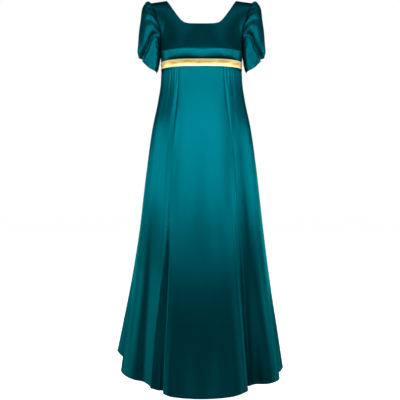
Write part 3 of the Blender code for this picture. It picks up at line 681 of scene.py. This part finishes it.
def sleeve_relief(ring, turn_deg):
    """How far pleats and folds stand off the plain sleeve."""
    rise = ease(ring, 0.0, CAP_PLEAT_PEAK_RING)
    fade = 1.0 - ease(ring, CAP_PLEAT_PEAK_RING, CAP_PLEAT_END_RING)
    around = angle_between(turn_deg, 0.0)
    in_cap = 1.0 - ease(np.abs(around), CAP_FULL_DEG, CAP_HALF_DEG)
    wave = np.cos(np.pi * CAP_PLEATS * (around / CAP_HALF_DEG + 1.0))
    relief = CAP_PLEAT_DEPTH * rise * fade * in_cap * wave
    for fold in SLEEVE_FOLDS:
        relief = relief + fold_relief(ring, turn_deg, fold)
    return relief * ease(ring, 0.0, RELIEF_FULL_RING)


def sleeve_grid():
    """The wearer's left sleeve, from the armhole down to the hem."""
    ring = np.linspace(0.0, RING_NUMBERS[-1], SLEEVE_ROWS + 1)[:, None]
    turn_deg = np.linspace(180.0, -180.0, SLEEVE_COLUMNS, endpoint=False)[None] % 360.0
    ring, turn_deg = np.broadcast_arrays(ring, turn_deg)
    grid = plain_sleeve(ring, turn_deg)
    grid[0, :, 0] += SEAM_GAP
    grid = raised(grid, sleeve_relief(ring, turn_deg), closed=True)
    # The seam allowance is turned in behind the bodice's edge
    armhole = grid[:1]
    inward = unit(armhole.mean(axis=1, keepdims=True) - armhole) * ALLOWANCE_IN
    return np.concatenate([armhole + inward - ALLOWANCE_OVER, grid])


# Skirt form: fold is the place round the skirt, in fold numbers, and drop the depth
# below the waist seam

LEVEL_DROPS = [level.drop for level in SKIRT_LEVELS]
HALF_WIDTH, FRONT_Y, BACK_Y, CENTRE_Y, SKIRT_SQUARENESS = curves(
    LEVEL_DROPS, SKIRT_LEVELS, "half_width front_y back_y centre_y squareness")
WAIST_DEG, HEM_DEG, OUT, RISE, GROWTH = curves(
    range(len(FOLDS)), FOLDS, "waist_deg hem_deg out rise growth", closed=True)
FOLD_NAMES = [fold.name for fold in FOLDS]


def skirt_ring(angle_deg, drop):
    """The plain flared skirt, with no folds."""
    angle = np.radians(angle_deg)
    depth = np.where(np.cos(angle) > 0.0, FRONT_Y(drop), BACK_Y(drop))
    x = HALF_WIDTH(drop) * np.sin(angle)
    y = mix(CENTRE_Y(drop), depth, forward_share(angle, SKIRT_SQUARENESS(drop)))
    return np.stack([x, y, WAIST_Z - drop + 0.0 * x], axis=-1)


def skirt_angle(fold, drop):
    return mix(WAIST_DEG(fold), HEM_DEG(fold), np.maximum(drop, 0.0) / SKIRT_LENGTH)


def skirt_point(fold, drop, off):
    """A point of the folded skirt, standing off it by a further distance."""
    share = np.maximum(drop, 0.0) / SKIRT_LENGTH
    angle_deg = skirt_angle(fold, drop)
    point = skirt_ring(angle_deg, drop)
    angle = np.radians(angle_deg)
    outward = np.stack([np.sin(angle), -np.cos(angle), np.zeros_like(angle)], axis=-1)
    point += outward * (OUT(fold) * share ** GROWTH(fold) + off)[..., None]
    point[..., 2] += RISE(fold) * share ** RISE_GROWTH
    return point


def gathers(column, from_seam, drop):
    """Gathers drawn up at the waist seam, which die out beside the panel's seams."""
    full = ease(drop, GATHER_START, GATHER_FULL)
    wanes = 1.0 - ease(drop, GATHER_WANES, GATHER_END)
    uneven = 1.0 - GATHER_UNEVEN + GATHER_UNEVEN * np.sin(GATHER_BEAT * column)
    wave = np.cos(np.pi * column) * ease(from_seam, 0.0, 1.0)
    return -GATHER_DEPTH * uneven * wave * full * wanes


def crease_relief(angle_deg, drop):
    """How far the soft creases stand off the folded skirt."""
    relief = np.zeros_like(angle_deg)
    for crease in SKIRT_CREASES:
        along = (drop - crease.drop_a) / (crease.drop_b - crease.drop_a)
        line = mix(crease.deg_a, crease.deg_b, np.clip(along, 0.0, 1.0))
        off = np.radians(angle_between(angle_deg, line)) * HALF_WIDTH(drop)
        ends = ease(along, 0.0, CREASE_FADE) * (1.0 - ease(along, 1.0 - CREASE_FADE, 1.0))
        relief += crease.depth * ends * bell(off / crease.half_width)
    return relief


def hem_swell(above_hem, height):
    """A turned-up hem is a little thicker, with a line of stitches along its top."""
    turned = 1.0 - ease(above_hem, height - HEM_STEP, height + HEM_STEP)
    stitched = bell((above_hem - height) / STITCH_DIP)
    return HEM_SWELL * (turned - stitched)


def seam_fall(grid, seams):
    """Both sides of a seam dip into it."""
    lengths = row_lengths(grid)
    from_seam = np.min([np.abs(lengths - lengths[:, seam][:, None]) for seam in seams],
                       axis=0)
    return -SEAM_DEPTH * bell(from_seam / SEAM_REACH)


def skirt_grids():
    """The whole folded skirt as one surface, cut into its panels at the seams."""
    counts = [fold.columns for fold in FOLDS[:-1]]
    columns_before = np.concatenate([[0], np.cumsum(counts)])
    column = np.linspace(0.0, columns_before[-1], columns_before[-1] * COLUMNS_BETWEEN + 1)
    fold = np.interp(column, columns_before, range(len(FOLDS)))
    steps = (len(SKIRT_ROW_DROPS) - 1) * ROWS_BETWEEN
    drop = np.interp(np.linspace(0.0, len(SKIRT_ROW_DROPS) - 1, steps + 1),
                     range(len(SKIRT_ROW_DROPS)), SKIRT_ROW_DROPS)
    fold, drop = np.meshgrid(fold, drop)
    off = np.zeros_like(drop)
    cuts = []
    for panel in SKIRT_PANELS:
        first = columns_before[FOLD_NAMES.index(panel.first)]
        last = columns_before[FOLD_NAMES.index(panel.last)]
        cut = slice(first * COLUMNS_BETWEEN, last * COLUMNS_BETWEEN + 1)
        cuts.append(cut)
        if panel.gathered:
            from_seam = np.minimum(column[cut] - first, last - column[cut])
            off[:, cut] = gathers(column[cut] - first, from_seam, drop[:, cut])
    grid = skirt_point(fold, drop, off)
    relief = crease_relief(skirt_angle(fold, drop), drop)
    down = column_lengths(grid)
    relief += hem_swell(down[-1:] - down, SKIRT_HEM)
    relief += seam_fall(grid, [cut.start for cut in cuts] + [grid.shape[1] - 1])
    # The two ends meet at the centre back, so their directions are worked out together
    around = np.concatenate([grid[:, -2:-1], grid, grid[:, 1:2]], axis=1)
    grid = grid + grid_normals(around)[:, 1:-1] * relief[..., None]
    panels = []
    for cut in cuts:
        part = grid[:, cut].copy()
        part[:, 0] += unit(part[:, 1] - part[:, 0]) * SEAM_GAP / 2.0
        part[:, -1] -= unit(part[:, -1] - part[:, -2]) * SEAM_GAP / 2.0
        panels.append(part)
    return panels


# Trim form: the ribbon lies on the bodice above the waist seam and on the skirt below it

def under_trim(z, turn_deg):
    """The gown's surface under the ribbon, from the front at turn 0 to the back at 180."""
    on_waist = skirt_ring(turn_deg, np.maximum(WAIST_Z - z, 0.0))
    at_front = turn_deg < 90.0
    row = np.where(at_front, FIRST_ROW, 2 * SHOULDER_ROW - FIRST_ROW)
    reach = np.where(at_front, turn_deg, 180.0 - turn_deg) / 90.0
    above = bodice_point(row, reach, darts=False)
    share = np.maximum(z - WAIST_Z, 0.0) / (above[..., 2] - WAIST_Z)
    return mix(on_waist, above, share[..., None])


def trim_grid():
    """The ribbon's outer face, from its upper edge down."""
    z = np.linspace(WAIST_Z + TRIM_WIDTH / 2.0, WAIST_Z - TRIM_WIDTH / 2.0, TRIM_ROWS + 1)
    turn_deg = np.linspace(-180.0, 180.0, 2 * TRIM_COLUMNS, endpoint=False)
    z, turn_deg = np.meshgrid(z, turn_deg, indexing="ij")
    grid = under_trim(z, np.abs(turn_deg))
    grid[..., 0] *= np.sign(turn_deg)
    return raised(grid, np.full_like(z, TRIM_LIFT + RIBBON), closed=True)


# Finishes

class Nodes:
    """A short way to write a material's nodes."""

    def __init__(self, name):
        self.material = bpy.data.materials.new(name)
        self.material.use_nodes = True
        self.tree = self.material.node_tree
        self.shader = self.tree.nodes["Principled BSDF"]
        self.places = self.add("ShaderNodeTexCoord").outputs

    def add(self, kind, **inputs):
        node = self.tree.nodes.new(kind)
        self.set(node, inputs)
        return node

    def set(self, node, inputs):
        for name, value in inputs.items():
            self.put(node.inputs[name.replace("_", " ")], value)

    def put(self, socket, value):
        if isinstance(value, bpy.types.NodeSocket):
            self.tree.links.new(value, socket)
        elif isinstance(value, tuple) and len(value) == 3 and socket.type == "RGBA":
            socket.default_value = (*value, 1.0)
        else:
            socket.default_value = value

    def maths(self, operation, *values):
        node = self.tree.nodes.new("ShaderNodeMath")
        node.operation = operation
        for socket, value in zip(node.inputs, values):
            self.put(socket, value)
        return node.outputs[0]

    def noise(self, vector, repeats, detail, roughness=0.5):
        """Noise, stretched by how often it repeats along each axis of a vector."""
        mapping = self.add("ShaderNodeMapping", Vector=vector, Scale=repeats)
        node = self.add("ShaderNodeTexNoise", Vector=mapping.outputs[0], Scale=1.0,
                        Detail=detail, Roughness=roughness)
        return node.outputs["Fac"]

    def weave(self, vector, warp, weft):
        """Crossing threads, by how many there are along each axis of a vector."""
        waves = []
        for direction, scale in (("X", warp), ("Y", weft)):
            node = self.add("ShaderNodeTexWave", Vector=vector, Scale=scale)
            node.bands_direction = direction
            waves.append(node.outputs["Fac"])
        return self.maths("MULTIPLY", *waves)

    def ramp(self, share, stops):
        node = self.add("ShaderNodeValToRGB", Fac=share)
        ramp = node.color_ramp
        while len(ramp.elements) < len(stops):
            ramp.elements.new(1.0)
        for element, (place, colour) in zip(ramp.elements, stops):
            element.position = place
            element.color = (*colour, 1.0)
        return node.outputs["Color"]

    def mixed(self, way, share, first, second):
        """Two colours together: way is MIX or MULTIPLY."""
        # Sockets 6 and 7 and output 2 are the mix node's colours
        node = self.tree.nodes.new("ShaderNodeMix")
        node.data_type = "RGBA"
        node.blend_type = way
        self.put(node.inputs["Factor"], share)
        self.put(node.inputs[6], first)
        self.put(node.inputs[7], second)
        return node.outputs[2]

    def bump(self, height, distance, strength, under=None):
        node = self.add("ShaderNodeBump", Height=height, Distance=distance,
                        Strength=strength)
        if under is not None:
            self.put(node.inputs["Normal"], under)
        return node.outputs["Normal"]

    def finish(self, **inputs):
        self.set(self.shader, inputs)
        return self.material


def scaled(colour, share):
    return tuple(channel * share for channel in colour)


def grey(level):
    return (level, level, level)


SATIN = (0.0, 0.037, 0.048)
SATIN_EDGE = (0.0, 0.60, 0.58)
SATIN_ROUGHNESS = 0.36
THREAD_ROUGHNESS = 0.10
PATCH_SHADE = 0.35
THREAD_SHADE = 1.2
LINING = (0.0, 0.012, 0.015)
RIBBON_CREAM = (0.66, 0.53, 0.19)
RIBBON_GOLD = (0.56, 0.40, 0.12)
RIBBON_AMBER = (0.43, 0.27, 0.07)
RIBBON_PEACH = (0.58, 0.33, 0.16)
RIBBON_EDGE = (0.66, 0.57, 0.26)
FLOOR_COLOUR = 0.8


def satin_finish():
    """Satin: long floats of thread down the cloth, uneven weft threads, a soft gloss."""
    nodes = Nodes("teal_satin")
    uv = nodes.places["UV"]
    slubs = nodes.noise(uv, (28.0, 900.0, 1.0), detail=2.0)
    floats = nodes.noise(uv, (1300.0, 45.0, 1.0), detail=2.0)
    threads = nodes.maths("MULTIPLY", slubs, floats)
    patches = nodes.noise(uv, (9.0, 4.0, 1.0), detail=3.0)
    shade = nodes.maths("ADD", nodes.maths("MULTIPLY", patches, PATCH_SHADE),
                        nodes.maths("MULTIPLY", threads, THREAD_SHADE))
    colour = nodes.ramp(shade, ((0.25, scaled(SATIN, 0.90)), (0.50, SATIN),
                                (0.80, scaled(SATIN, 1.12))))
    slack = nodes.noise(uv, (34.0, 17.0, 1.0), detail=2.0)
    normal = nodes.bump(slack, distance=0.0012, strength=0.30)
    normal = nodes.bump(threads, distance=0.00010, strength=0.20, under=normal)
    normal = nodes.bump(nodes.weave(uv, warp=540.0, weft=380.0), distance=0.00004,
                        strength=0.20, under=normal)
    tangent = nodes.add("ShaderNodeTangent")
    tangent.direction_type = "UV_MAP"
    rough = nodes.maths("MULTIPLY_ADD", threads, THREAD_ROUGHNESS, SATIN_ROUGHNESS)
    return nodes.finish(Base_Color=colour, Metallic=0.80, Roughness=rough, Anisotropic=0.60,
                        Tangent=tangent.outputs[0], Normal=normal,
                        Specular_IOR_Level=0.0, Specular_Tint=SATIN_EDGE)


def lining_finish():
    """The satin's plain, darker inner side."""
    nodes = Nodes("teal_lining")
    uv = nodes.places["UV"]
    threads = nodes.noise(uv, (600.0, 600.0, 1.0), detail=2.0)
    colour = nodes.ramp(threads, ((0.3, scaled(LINING, 0.85)), (0.7, scaled(LINING, 1.15))))
    normal = nodes.bump(nodes.weave(uv, warp=420.0, weft=420.0), distance=0.00006,
                        strength=0.4)
    return nodes.finish(Base_Color=colour, Roughness=0.75, Normal=normal)


def ribbon_finish():
    """Brocade ribbon: mottled gold figures, paler towards both of its edges."""
    nodes = Nodes("gold_ribbon")
    uv = nodes.places["UV"]
    across = nodes.add("ShaderNodeSeparateXYZ", Vector=uv).outputs["Y"]
    from_middle = nodes.maths("ABSOLUTE", nodes.maths("ADD", across, TRIM_WIDTH / 2.0))
    # The ribbon's colour turns paler over the outer part of each half of its width
    edge = nodes.ramp(nodes.maths("DIVIDE", from_middle, TRIM_WIDTH / 2.0),
                      ((0.62, grey(0.0)), (0.84, grey(1.0))))
    patches = nodes.noise(uv, (26.0, 75.0, 1.0), detail=2.0)
    figures = nodes.noise(uv, (170.0, 420.0, 1.0), detail=3.0, roughness=0.6)
    blush = nodes.noise(uv, (15.0, 55.0, 1.0), detail=1.0)
    ground = nodes.ramp(patches, ((0.38, RIBBON_AMBER), (0.48, RIBBON_GOLD),
                                  (0.62, RIBBON_CREAM)))
    rosy = nodes.ramp(blush, ((0.56, grey(0.0)), (0.68, grey(0.6))))
    ground = nodes.mixed("MIX", rosy, ground, RIBBON_PEACH)
    ground = nodes.mixed("MIX", edge, ground, RIBBON_EDGE)
    lit = nodes.ramp(figures, ((0.36, grey(0.76)), (0.60, grey(1.0))))
    woven = nodes.mixed("MULTIPLY", 1.0, ground, lit)
    cords = nodes.add("ShaderNodeTexWave", Vector=uv, Scale=320.0).outputs["Fac"]
    normal = nodes.bump(figures, distance=0.0004, strength=0.5)
    normal = nodes.bump(cords, distance=0.00008, strength=0.4, under=normal)
    return nodes.finish(Base_Color=woven, Metallic=0.15, Roughness=0.48, Normal=normal)


def thread_finish(name, colour):
    nodes = Nodes(name)
    where = nodes.places["Object"]
    twist = nodes.noise(where, grey(2400.0), detail=1.0)
    shade = nodes.ramp(twist, ((0.3, scaled(colour, 0.8)), (0.7, scaled(colour, 1.2))))
    normal = nodes.bump(twist, distance=0.00005, strength=0.5)
    return nodes.finish(Base_Color=shade, Roughness=0.5, Normal=normal)


def backdrop_finish():
    """A pale studio floor, lit evenly from below so that it is as pale as the sweep."""
    nodes = Nodes("studio_floor")
    where = nodes.places["Object"]
    grain = nodes.noise(where, grey(3.0), detail=2.0)
    pale = nodes.ramp(grain, ((0.0, grey(0.985)), (1.0, grey(1.0))))
    return nodes.finish(Base_Color=grey(FLOOR_COLOUR), Emission_Color=pale,
                        Emission_Strength=1.0)


# Making pieces

# Points alike to this many decimals are one, and edges sharper than this angle are hard
MERGE_DIGITS = 6
SHARP_DEG = 60.0


def new_piece(name, verts, faces, materials, uvs=None):
    mesh = bpy.data.meshes.new(name)
    mesh.from_pydata(verts, [], faces)
    for material in materials:
        mesh.materials.append(material)
    if uvs is not None:
        mesh.uv_layers.new(name="UVMap").data.foreach_set("uv", np.ravel(uvs))
    mesh.shade_smooth()
    piece = bpy.data.objects.new(name, mesh)
    bpy.context.scene.collection.objects.link(piece)
    return piece


def quad_corners(grid):
    """The four corners of each quad of a grid, in order round it."""
    return np.stack([grid[:-1, :-1], grid[1:, :-1], grid[1:, 1:], grid[:-1, 1:]], axis=2)


def make_shell(name, grids, maps, materials, thickness, closed=False):
    """A thin shell on grids of points, which are joined where they meet."""
    verts = []
    corners = []
    faces = []
    numbers = {}
    for grid, flat in zip(grids, maps):
        ids = np.empty(grid.shape[:2], int)
        for place in np.ndindex(ids.shape):
            point = grid[place].tolist()
            key = tuple(round(value, MERGE_DIGITS) for value in point)
            if key not in numbers:
                numbers[key] = len(verts)
                verts.append(point)
            ids[place] = numbers[key]
        if closed:
            ids = np.concatenate([ids, ids[:, :1]], axis=1)
        faces += quad_corners(ids).reshape(-1, 4).tolist()
        corners.append(quad_corners(flat).reshape(-1, 2))
    piece = new_piece(name, verts, faces, materials, np.concatenate(corners))
    shell = piece.modifiers.new("Shell", "SOLIDIFY")
    shell.thickness = thickness
    shell.offset = -1.0
    shell.material_offset = 1
    graph = bpy.context.evaluated_depsgraph_get()
    mesh = bpy.data.meshes.new_from_object(piece.evaluated_get(graph))
    piece.modifiers.clear()
    piece.data = mesh
    mesh.name = name
    mesh.set_sharp_from_angle(angle=math.radians(SHARP_DEG))
    return piece


def flat_map(grid):
    """Each point's place on the flat cloth, in metres, from the panel's middle line."""
    across = row_lengths(grid)
    middle = across[:, across.shape[1] // 2][:, None]
    return np.stack([across - middle, -column_lengths(grid)], axis=-1)


def cut_size(grids):
    """Width, length and area of the flat cloth that a piece was cut from."""
    width = max(row_lengths(grid)[:, -1].max() for grid in grids)
    length = max(column_lengths(grid)[-1].max() for grid in grids)
    area = 0.0
    for grid in grids:
        one = np.cross(grid[1:, 1:] - grid[:-1, :-1], grid[1:, :-1] - grid[:-1, 1:])
        area += float(np.linalg.norm(one, axis=-1).sum()) / 2.0
    return float(width), float(length), area


def declare_cloth(piece, grids, node, flat=None):
    """Work out the size of a piece's cut, hide its solid, and put the piece in its solid's
    place.
    """
    width, length, area = cut_size(grids)
    if flat is not None:
        width, length = flat
    area = min(area, width * length)
    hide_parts(node)
    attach(piece, "root")


def on_path(place, lengths, values):
    """A path's point or direction at a length along it."""
    return np.array([np.interp(place, lengths, values[:, axis]) for axis in range(3)])


def make_stitches(name, path, normals, material, closed):
    """Short threads lying along a path, one stitch after another."""
    if closed:
        path = np.concatenate([path, path[:1]])
        normals = np.concatenate([normals, normals[:1]])
    lengths = row_lengths(path[None])[0]
    turns = np.linspace(0.0, 2.0 * np.pi, STITCH_SIDES, endpoint=False)
    verts = []
    faces = []
    for number in range(int(lengths[-1] / STITCH_PITCH)):
        starts = []
        for ring in STITCH_RINGS:
            place = number * STITCH_PITCH + STITCH_LENGTH * ring.place
            at = on_path(place, lengths, path)
            out = unit(on_path(place, lengths, normals))
            along = unit(on_path(place + STITCH_AHEAD, lengths, path) - at)
            side = unit(np.cross(along, out))
            centre = at + out * STITCH_RADIUS * ring.lift
            starts.append(len(verts))
            verts += [(centre + (side * math.cos(turn) + out * math.sin(turn))
                       * STITCH_RADIUS * ring.size).tolist() for turn in turns]
        for a, b in zip(starts, starts[1:]):
            for i in range(STITCH_SIDES):
                k = (i + 1) % STITCH_SIDES
                faces.append((a + i, a + k, b + k, b + i))
        faces.append(tuple(starts[0] + i for i in reversed(range(STITCH_SIDES))))
        faces.append(tuple(starts[-1] + i for i in range(STITCH_SIDES)))
    piece = new_piece(name, verts, faces, [material])
    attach(piece, "root")
    return piece


def line_above_hem(grid, height, closed=False):
    """Points and outward directions along a line at a height above a piece's hem."""
    lengths = column_lengths(grid)
    normals = grid_normals(grid, closed)
    path = []
    outs = []
    for i in range(grid.shape[1]):
        place = lengths[-1, i] - height
        path.append(on_path(place, lengths[:, i], grid[:, i]))
        outs.append(on_path(place, lengths[:, i], normals[:, i]))
    return np.array(path), np.array(outs)


def make_bodice(satin, lining):
    front = bodice_grids(front=True, side=1) + bodice_grids(front=True, side=-1)
    cuts = [("bodice_front", front, ["bodice_back_left", "bodice_back_right"],
             BODICE_FRONT_CUT)]
    for side, end in SIDES:
        back = bodice_grids(front=False, side=side)
        cuts.append((f"bodice_back_{end}", back, ["bodice_front"], BODICE_BACK_CUT))
    for node, grids, rests_on, flat in cuts:
        maps = [grid[..., [0, 2]] for grid in grids]
        piece = make_shell(f"{node}_satin", grids, maps, [satin, lining], CLOTH)
        declare_cloth(piece, grids, node, flat=flat)


def make_sleeves(satin, lining, thread):
    left = sleeve_grid()
    for grid, end in ((left, "left"), (mirrored(left), "right")):
        closed = np.concatenate([grid, grid[:, :1]], axis=1)
        piece = make_shell(f"sleeve_{end}_satin", [grid], [flat_map(closed)],
                           [satin, lining], CLOTH, closed=True)
        path, outs = line_above_hem(grid, SLEEVE_HEM, closed=True)
        stitches = make_stitches(f"sleeve_{end}_hem_stitches", path, outs, thread, True)
        declare_cloth(piece, [closed], f"sleeve_{end}")


def make_skirt(satin, lining, thread):
    grids = skirt_grids()
    for number, (panel, grid) in enumerate(zip(SKIRT_PANELS, grids)):
        sewn = lapped(grid, grids[number - 1])
        piece = make_shell(f"{panel.node}_satin", [sewn], [flat_map(sewn)],
                           [satin, lining], CLOTH)
        path, outs = line_above_hem(grid, SKIRT_HEM)
        stitches = make_stitches(f"{panel.node}_hem_stitches", path, outs, thread, False)
        declare_cloth(piece, [grid], panel.node)


def make_trim(ribbon, thread):
    grid = trim_grid()
    closed = np.concatenate([grid, grid[:, :1]], axis=1)
    piece = make_shell("waist_ribbon", [grid], [flat_map(closed)], [ribbon, ribbon],
                       RIBBON, closed=True)
    for number in (1, TRIM_ROWS - 1):
        make_stitches(f"waist_ribbon_stitches_{number}", grid[number],
                                  grid_normals(grid, True)[number], thread, True)
    declare_cloth(piece, [closed], "waist_trim")


# Studio

# Soft boxes, each turned toward a point of the gown's middle line. Those off the middle
# are a pair, one on each side.
LAMPS = table("name azimuth elevation distance aim_z width height watts", (
    ("key", 25, 15, 1.9, -0.35, 0.55, 0.60, 20.0),
    ("middle_near", 0, 23, 1.9, -0.35, 0.55, 0.60, 13.5),
    ("middle_far", 0, 22, 3.6, -0.70, 1.05, 1.00, 18.0),
    ("wash", 48, 9, 1.9, -0.35, 0.60, 0.65, 15.0),
    ("side_front", 75, 0, 1.9, -0.35, 0.70, 0.60, 8.2),
    ("side", 100, 1, 1.9, -0.35, 0.70, 0.65, 18.0),
    ("side_low", 118, -4, 1.9, -1.35, 0.70, 0.80, 9.0),
    ("side_back", 115, 0, 3.6, -0.70, 1.05, 1.20, 15.0),
    ("rim", 145, -1, 3.6, -0.70, 1.00, 1.20, 22.0),
    ("top", 60, 65, 1.9, -0.35, 0.55, 0.55, 2.0),
    ("top_far", 50, 62, 3.6, -0.70, 1.00, 1.00, 6.0),
    ("low", 20, -15, 3.6, -0.70, 1.10, 1.00, 12.0),
    ("low_wash", 60, -15, 3.6, -0.70, 1.10, 1.00, 7.0),
))
FLOOR_Z = -1.52
FLOOR_HALF = 30.0


def add_lamp(lamp, side, end):
    light = bpy.data.lights.new(f"{lamp.name}_{end}", "AREA")
    light.shape = "RECTANGLE"
    light.size = lamp.width
    light.size_y = lamp.height
    light.energy = lamp.watts
    box = bpy.data.objects.new(light.name, light)
    azimuth = side * math.radians(lamp.azimuth)
    elevation = math.radians(lamp.elevation)
    toward = Vector((math.sin(azimuth) * math.cos(elevation),
                     -math.cos(azimuth) * math.cos(elevation), math.sin(elevation)))
    box.location = Vector((0.0, 0.0, lamp.aim_z)) + toward * lamp.distance
    box.rotation_euler = toward.to_track_quat("Z", "Y").to_euler()
    box.visible_camera = False
    bpy.context.scene.collection.objects.link(box)


def make_studio():
    for lamp in LAMPS:
        for side, end in SIDES[:1 if lamp.azimuth == 0 else 2]:
            add_lamp(lamp, side, end)
    corners = [(x * FLOOR_HALF, y * FLOOR_HALF, FLOOR_Z)
               for x, y in ((-1, -1), (1, -1), (1, 1), (-1, 1))]
    floor = new_piece("studio_floor", corners, [(0, 1, 2, 3)], [backdrop_finish()])
    floor.visible_diffuse = False
    floor.visible_glossy = False
    world = bpy.data.worlds.new("studio_sweep")
    bpy.context.scene.world = world
    world.use_nodes = True
    background = world.node_tree.nodes["Background"]
    background.inputs["Color"].default_value = (*grey(1.0), 1.0)
    background.inputs["Strength"].default_value = 1.0
    world.cycles_visibility.diffuse = False
    world.cycles_visibility.glossy = False
    bpy.context.scene.view_settings.view_transform = "Standard"


def make_camera():
    camera = bpy.data.objects.new("camera", bpy.data.cameras.new("camera"))
    camera.data.lens = LENS_MM
    camera.location = CAMERA_AT
    camera.rotation_euler = (math.radians(90.0), 0.0, 0.0)
    bpy.context.scene.collection.objects.link(camera)
    bpy.context.scene.camera = camera


def main():
    make_camera()
    make_studio()
    satin = satin_finish()
    lining = lining_finish()
    thread = thread_finish("teal_thread", SATIN)
    make_bodice(satin, lining)
    make_sleeves(satin, lining, thread)
    make_skirt(satin, lining, thread)
    make_trim(ribbon_finish(), thread_finish("gold_thread", RIBBON_GOLD))


main()
